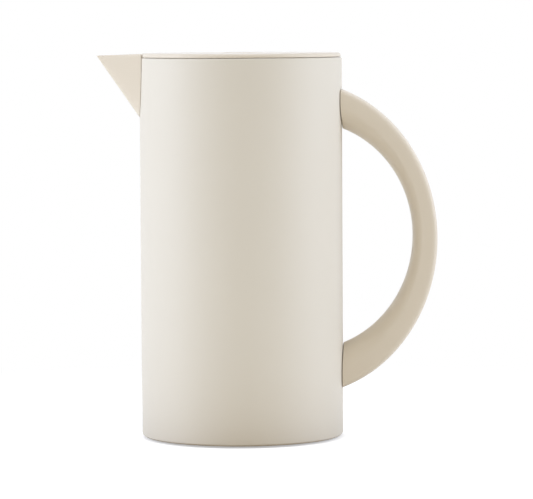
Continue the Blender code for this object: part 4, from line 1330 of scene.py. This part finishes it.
def coil_spring(button):
    """Wound wire whose first and last turns lie flat."""
    radius = SPRING_HIGH.y - button.wire_radius
    bottom = SPRING_LOW.z + button.wire_radius
    top = SPRING_HIGH.z - button.wire_radius
    wire = 2 * button.wire_radius
    rings = []
    for step in range(button.coils * COIL_STEPS + 1):
        turn = 2 * pi * step / COIL_STEPS
        turns = step / COIL_STEPS
        climb = min(max((turns - FLAT_TURN) / (button.coils - 2 * FLAT_TURN), 0), 1)
        lift = wire * (min(turns, 1) - 1)
        close = wire * max(turns - button.coils + 1, 0)
        height = bottom + wire + lift + (top - bottom - 2 * wire) * climb + close
        outward = Vector((cos(turn), sin(turn), 0))
        centre = outward * radius + Vector((0, 0, height))
        ring = []
        for around in steps_to(2 * pi, WIRE_SIDES)[:-1]:
            offset = outward * cos(around) + Vector((0, 0, sin(around)))
            ring.append(centre + offset * button.wire_radius)
        rings.append(ring)
    return lofted("coil_spring", rings)


def glass_surface(flask, inset, neck_inset, end_radius):
    """One glass surface from the neck's foot down to the middle of the dome."""
    neck = neck_radius(flask) - neck_inset
    body = FLASK_HIGH.y - inset
    neck_foot = FLASK_HIGH.z - flask.neck_length
    shoulder_top = neck_foot - inset
    shoulder_foot = neck_foot - flask.shoulder_height
    dome_top = FLASK_LOW.z + flask.dome_height
    start = neck + flask.neck_round
    points = []
    for turn in steps_to(pi / 2, CORNER_STEPS)[:-1]:
        rise = flask.neck_round * (1 - sin(turn))
        points.append((start - flask.neck_round * cos(turn), shoulder_top + rise))
    for turn in steps_to(pi / 2, DOME_STEPS):
        rise = (shoulder_top - shoulder_foot) * cos(turn)
        points.append((start + (body - start) * sin(turn), shoulder_foot + rise))
    end_turn = acos(end_radius / body)
    for turn in steps_to(end_turn, DOME_STEPS):
        points.append((body * cos(turn), dome_top - (flask.dome_height - inset) * sin(turn)))
    return points


def neck_radius(flask):
    """Outer radius of the flask's neck."""
    return flask.mouth_radius + 2 * flask.glass + flask.mouth_gap


def flask_glass(flask):
    """Double-walled flask, with its two shells joined round the mouth."""
    inner_inset = flask.glass + flask.vacuum
    neck = neck_radius(flask)
    vacuum_top = FLASK_HIGH.z - flask.lip_depth
    outline = [(neck, FLASK_HIGH.z, flask.lip_round)]
    outline += glass_surface(flask, 0, 0, flask.tip_hole)
    outline += reversed(glass_surface(flask, flask.glass, flask.glass, flask.tip_hole))
    outline += [(neck - flask.glass, vacuum_top), (flask.mouth_radius + flask.glass, vacuum_top)]
    outline += glass_surface(flask, inner_inset, flask.glass + flask.mouth_gap, 0)
    outline += reversed(
        glass_surface(flask, inner_inset + flask.glass, 2 * flask.glass + flask.mouth_gap, 0)
    )
    outline += [(flask.mouth_radius, FLASK_HIGH.z, flask.lip_round)]
    return turned("flask_glass", rounded(outline))


def neck_ring(flask, stopper):
    """Soft ring with a bead, between the flask's mouth and the collar's tube."""
    gap = stopper.part_gap
    neck = neck_radius(flask) + gap
    outer = neck + flask.gasket_wall
    mouth = flask.mouth_radius + gap
    seat = FLASK_HIGH.z + gap
    return lathed("neck_ring", [
        (outer, NECK_HIGH.z, flask.lip_round / 2),
        (outer, NECK_LOW.z),
        (neck, NECK_LOW.z),
        (neck, seat),
        (mouth, seat),
        (mouth, NECK_HIGH.z),
    ])


def foot_cap(base):
    """Screw-in cap with a recess for the pad and a ring for the cushion."""
    ceiling = PAD_HIGH.z + base.pad_gap
    floor_top = ceiling + base.floor_thickness
    flange_top = CAP_LOW.z + base.flange_height
    recess = PAD_HIGH.y + base.pad_gap
    hub = base.hub_radius
    rim = base.cushion_rim
    rim_top = floor_top + base.cushion_rim_height
    return lathed("foot_cap", [
        (hub, CAP_HIGH.z, base.edge_round),
        (hub, flange_top),
        (CAP_HIGH.y, flange_top),
        (CAP_HIGH.y, CAP_LOW.z, base.edge_round),
        (recess, CAP_LOW.z, base.edge_round),
        (recess, ceiling),
        (0, ceiling),
        (0, floor_top),
        (rim, floor_top),
        (rim, rim_top, base.edge_round),
        (rim + base.cushion_wall, rim_top, base.edge_round),
        (rim + base.cushion_wall, floor_top, base.edge_round),
        (hub - base.hub_wall, floor_top, base.edge_round),
        (hub - base.hub_wall, CAP_HIGH.z, base.edge_round),
    ])


def foot_pad(base):
    """Rubber disc with round grooves on its underside."""
    corners = [(0, PAD_HIGH.z), (PAD_HIGH.y, PAD_HIGH.z), (PAD_HIGH.y, PAD_LOW.z, base.pad_round)]
    for groove in range(base.pad_grooves, 0, -1):
        middle = PAD_HIGH.y * groove / (base.pad_grooves + 1)
        depth = PAD_LOW.z + base.pad_groove
        corners += [
            (middle + 2 * base.pad_groove, PAD_LOW.z),
            (middle + base.pad_groove, depth),
            (middle - base.pad_groove, depth),
            (middle - 2 * base.pad_groove, PAD_LOW.z),
        ]
    corners.append((0, PAD_LOW.z))
    return lathed("foot_pad", corners)


# Studio


def add_lamp(name, studio, side, height, level):
    """Square soft lamp aimed at the jug's middle, whose level is what a surface facing it gets."""
    light = bpy.data.lights.new(name, "AREA")
    light.shape = "SQUARE"
    light.size = studio.lamp_size
    light.energy = level * (pi * studio.lamp_distance) ** 2
    light.color = studio.lamp_colour
    lamp = placed(name, light)
    out = Vector((sin(side) * cos(height), -cos(side) * cos(height), sin(height)))
    middle = Vector((0, 0, RIM_HEIGHT / 2))
    lamp.location = middle + out * studio.lamp_distance
    lamp.rotation_euler = out.to_track_quat("Z", "Y").to_euler()
    lamp.visible_camera = False
    return lamp


def seen_directly(graph):
    """1 for rays from the camera, a mirror or glass, and 0 for light that lights."""
    path = graph.node("ShaderNodeLightPath")
    rays = path.socket.node.outputs
    camera, glossy, glass = (
        Wire(graph, rays[f"Is {kind} Ray"]) for kind in ("Camera", "Glossy", "Transmission")
    )
    settings = {"operation": "ADD", "use_clamp": True}
    return graph.node("ShaderNodeMath", settings, {0: camera + glossy, 1: glass})


def distance_share(graph, near, far):
    """0 inside one distance from the jug's axis and 1 outside another, with a soft change."""
    reach, soft = {"operation": "LENGTH"}, {"interpolation_type": "SMOOTHSTEP"}
    away = graph.node("ShaderNodeVectorMath", reach, {0: graph.position()}, output=1)
    return graph.node("ShaderNodeMapRange", soft, {0: away, 1: near, 2: far})


def add_floor(studio):
    """Pale floor. It looks white, keeps the jug's shadow and sends back warm light, painted dark
    near the jug as painted shade.
    """
    shape = bmesh.new()
    bmesh.ops.create_circle(shape, cap_ends=True, segments=SMALL_FACETS, radius=studio.floor_radius)
    floor = add_object("floor", shape)
    graph = new_finish("pale_floor")
    white = graph.node("ShaderNodeBsdfDiffuse", {}, {"Color": (*[studio.floor_white] * 3, 1.0)})
    glow = graph.node("ShaderNodeEmission", {}, {"Strength": studio.floor_glow})
    plain = graph.node("ShaderNodeEmission", {}, {"Strength": 1.0})
    # Painted shade: the light the floor sends back is painted dark near the jug and fades to its
    # warm colour further off.
    painted_shade_fade = distance_share(graph, studio.painted_shade_radius, studio.painted_shade_fade_radius)
    bounce = graph.mixed(painted_shade_fade, studio.painted_shade_bounce, studio.far_bounce)
    warm = graph.node("ShaderNodeBsdfDiffuse", {}, {"Color": bounce})
    fade = distance_share(graph, studio.floor_near, studio.floor_far)
    lit = graph.node("ShaderNodeAddShader", {}, {0: white, 1: glow})
    shown = graph.node("ShaderNodeMixShader", {}, {0: fade, 1: lit, 2: plain})
    mixed = graph.node("ShaderNodeMixShader", {}, {0: seen_directly(graph), 1: warm, 2: shown})
    graph.show("Material Output", mixed)
    floor.data.materials.append(graph.owner)


def add_surroundings(studio):
    """World that looks white and lights softly, warm in front and cool behind the jug."""
    world = bpy.data.worlds.new("studio")
    bpy.context.scene.world = world
    graph = Graph(world)
    white, front, back = (
        graph.node("ShaderNodeBackground", {}, {"Color": (*tone, 1.0), "Strength": 1.0})
        for tone in ((1, 1, 1), studio.front_sky, studio.back_sky)
    )
    direction = graph.node("ShaderNodeTexCoord", output="Generated")
    backwards = graph.node("ShaderNodeSeparateXYZ", {}, {0: direction}, output=1)
    sky = graph.node("ShaderNodeMixShader", {}, {0: 0.5 + 0.5 * backwards, 1: front, 2: back})
    mixed = graph.node("ShaderNodeMixShader", {}, {0: seen_directly(graph), 1: sky, 2: white})
    graph.show("World Output", mixed)


def add_camera(studio):
    """Camera at the photograph's height and distance."""
    level = cos(studio.pitch)
    forward = Vector((sin(studio.yaw) * level, cos(studio.yaw) * level, -sin(studio.pitch)))
    right = Vector((cos(studio.yaw), -sin(studio.yaw), 0))
    up = right.cross(forward)
    across = right * cos(studio.roll) + up * sin(studio.roll)
    above = up * cos(studio.roll) - right * sin(studio.roll)
    film = bpy.data.cameras.new("camera")
    film.lens = studio.focal_length
    film.sensor_width = FILM_WIDTH
    film.clip_end = 2 * studio.floor_radius
    camera = placed("camera", film)
    turn = Matrix((across, above, -forward)).transposed().to_4x4()
    camera.matrix_world = Matrix.Translation((0, -studio.eye_distance, studio.eye_height)) @ turn
    bpy.context.scene.camera = camera


# Operators


def on_jug(make):
    """Turn a function of the jug's settings into what an operator does."""

    def execute(self, context):
        make(context.scene.vacuum_jug)
        return {"FINISHED"}

    return execute


class JUG_OT_finishes(bpy.types.Operator):
    """Make the materials."""

    bl_idname = "jug.finishes"
    bl_label = "Finishes"

    @on_jug
    def execute(jug):
        make_finishes(jug.finish)


class JUG_OT_casing(bpy.types.Operator):
    """Make the painted casing."""

    bl_idname = "jug.casing"
    bl_label = "Casing"

    @on_jug
    def execute(jug):
        shell = casing_shell(jug.casing, jug.spout, jug.handle)
        finished(shell, "jug_body", "cream_paint", "outer_casing")


class JUG_OT_spout(bpy.types.Operator):
    """Make the beak with its flange."""

    bl_idname = "jug.spout"
    bl_label = "Spout"

    @on_jug
    def execute(jug):
        finished(spout_beak(jug.spout, jug.casing), "jug_body", "cream_plastic", "spout")


class JUG_OT_handle(bpy.types.Operator):
    """Make the handle and dress its brackets and screws."""

    bl_idname = "jug.handle"
    bl_label = "Handle"

    @on_jug
    def execute(jug):
        finished(handle_grip(jug.handle), "jug_body", "cream_plastic", "handle")
        dressed("handle_bracket_upper", "handle_bracket_lower", *HANDLE_SCREWS)


class JUG_OT_collar(bpy.types.Operator):
    """Make the pour collar."""

    bl_idname = "jug.collar"
    bl_label = "Pour collar"

    @on_jug
    def execute(jug):
        piece = collar_bowl(jug.collar, jug.spout, jug.thread)
        finished(piece, "jug_body", "cream_plastic", "pour_collar")


class JUG_OT_flask(bpy.types.Operator):
    """Make the glass flask and its soft ring, and dress its tip, spacers and cushion."""

    bl_idname = "jug.flask"
    bl_label = "Flask"

    @on_jug
    def execute(jug):
        finished(flask_glass(jug.flask), "jug_body", "silvered_glass", "flask")
        finished(neck_ring(jug.flask, jug.stopper), "jug_body", "silicone", "neck_gasket")
        dressed("flask_tip", *FLASK_SPACERS, "flask_cushion")


class JUG_OT_base(bpy.types.Operator):
    """Make the base cap and pad, and dress the threaded ring."""

    bl_idname = "jug.base"
    bl_label = "Base"

    @on_jug
    def execute(jug):
        finished(foot_cap(jug.base), "jug_body", "base_plastic", "base_cap")
        finished(foot_pad(jug.base), "jug_body", "grey_rubber", "base_pad")
        dressed("base_ring")


class JUG_OT_lid(bpy.types.Operator):
    """Make the flat lid."""

    bl_idname = "jug.lid"
    bl_label = "Lid"

    @on_jug
    def execute(jug):
        finished(lid_top(jug.lid), "stopper", "cream_plastic", "lid_disc")


class JUG_OT_stopper(bpy.types.Operator):
    """Make the plug, its cover and its gasket, and dress the stem's seal."""

    bl_idname = "jug.stopper"
    bl_label = "Stopper"

    @on_jug
    def execute(jug):
        finished(stopper_plug(jug.stopper, jug.thread), "stopper", "inner_plastic", "stopper_body")
        finished(well_cover(jug.stopper, jug.lid), "stopper", "inner_plastic", "button_well")
        finished(lip_gasket(jug.stopper), "stopper_seal", "silicone", "stopper_gasket")
        dressed("stem_seal")


class JUG_OT_button(bpy.types.Operator):
    """Make the push button, its stem and valve, and the return spring."""

    bl_idname = "jug.button"
    bl_label = "Push button"

    @on_jug
    def execute(jug):
        button = jug.button
        finished(button_cap(button, jug.stopper), "push_valve", "cream_plastic", "push_button")
        finished(steel_stem(button), "push_valve", "steel", "valve_stem")
        finished(valve_plate(button, jug.stopper), "push_valve", "inner_plastic", "valve_disc")
        finished(valve_ring(button), "push_valve", "silicone", "valve_seal")
        spring = finished(coil_spring(button), "stopper", "steel", "return_spring")
        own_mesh(spring)


class JUG_OT_stage(bpy.types.Operator):
    """Make the floor, the surroundings, the lamps and the camera."""

    bl_idname = "jug.stage"
    bl_label = "Stage"

    @on_jug
    def execute(jug):
        studio = jug.studio
        add_floor(studio)
        add_surroundings(studio)
        add_lamp("left_lamp", studio, -studio.lamp_side, studio.lamp_height, studio.left_level)
        add_lamp("right_lamp", studio, studio.lamp_side, studio.lamp_height, studio.right_level)
        add_lamp("top_lamp", studio, 0, studio.top_height, studio.top_level)
        add_camera(studio)
        bpy.context.scene.view_settings.view_transform = "Standard"


MAKERS = (
    JUG_OT_finishes,
    JUG_OT_casing,
    JUG_OT_spout,
    JUG_OT_handle,
    JUG_OT_collar,
    JUG_OT_flask,
    JUG_OT_base,
    JUG_OT_lid,
    JUG_OT_stopper,
    JUG_OT_button,
    JUG_OT_stage,
)


class JUG_PT_panel(bpy.types.Panel):
    """Buttons for the jug's pieces."""

    bl_idname = "JUG_PT_panel"
    bl_label = "Vacuum Jug"
    bl_space_type = "VIEW_3D"
    bl_region_type = "UI"
    bl_category = "Vacuum Jug"

    def draw(self, context):
        for maker in MAKERS:
            self.layout.operator(maker.bl_idname)


CLASSES = (
    CasingSettings,
    SpoutSettings,
    HandleSettings,
    CollarSettings,
    ThreadSettings,
    LidSettings,
    StopperSettings,
    ButtonSettings,
    FlaskSettings,
    BaseSettings,
    FinishSettings,
    StudioSettings,
    JugSettings,
    *MAKERS,
    JUG_PT_panel,
)


def register():
    for kind in CLASSES:
        bpy.utils.register_class(kind)
    bpy.types.Scene.vacuum_jug = bpy.props.PointerProperty(type=JugSettings, name="Vacuum jug")


def unregister():
    del bpy.types.Scene.vacuum_jug
    for kind in reversed(CLASSES):
        bpy.utils.unregister_class(kind)


def main():
    register()
    for maker in MAKERS:
        group, name = maker.bl_idname.split(".")
        getattr(getattr(bpy.ops, group), name)()


if __name__ == "__main__":
    main()
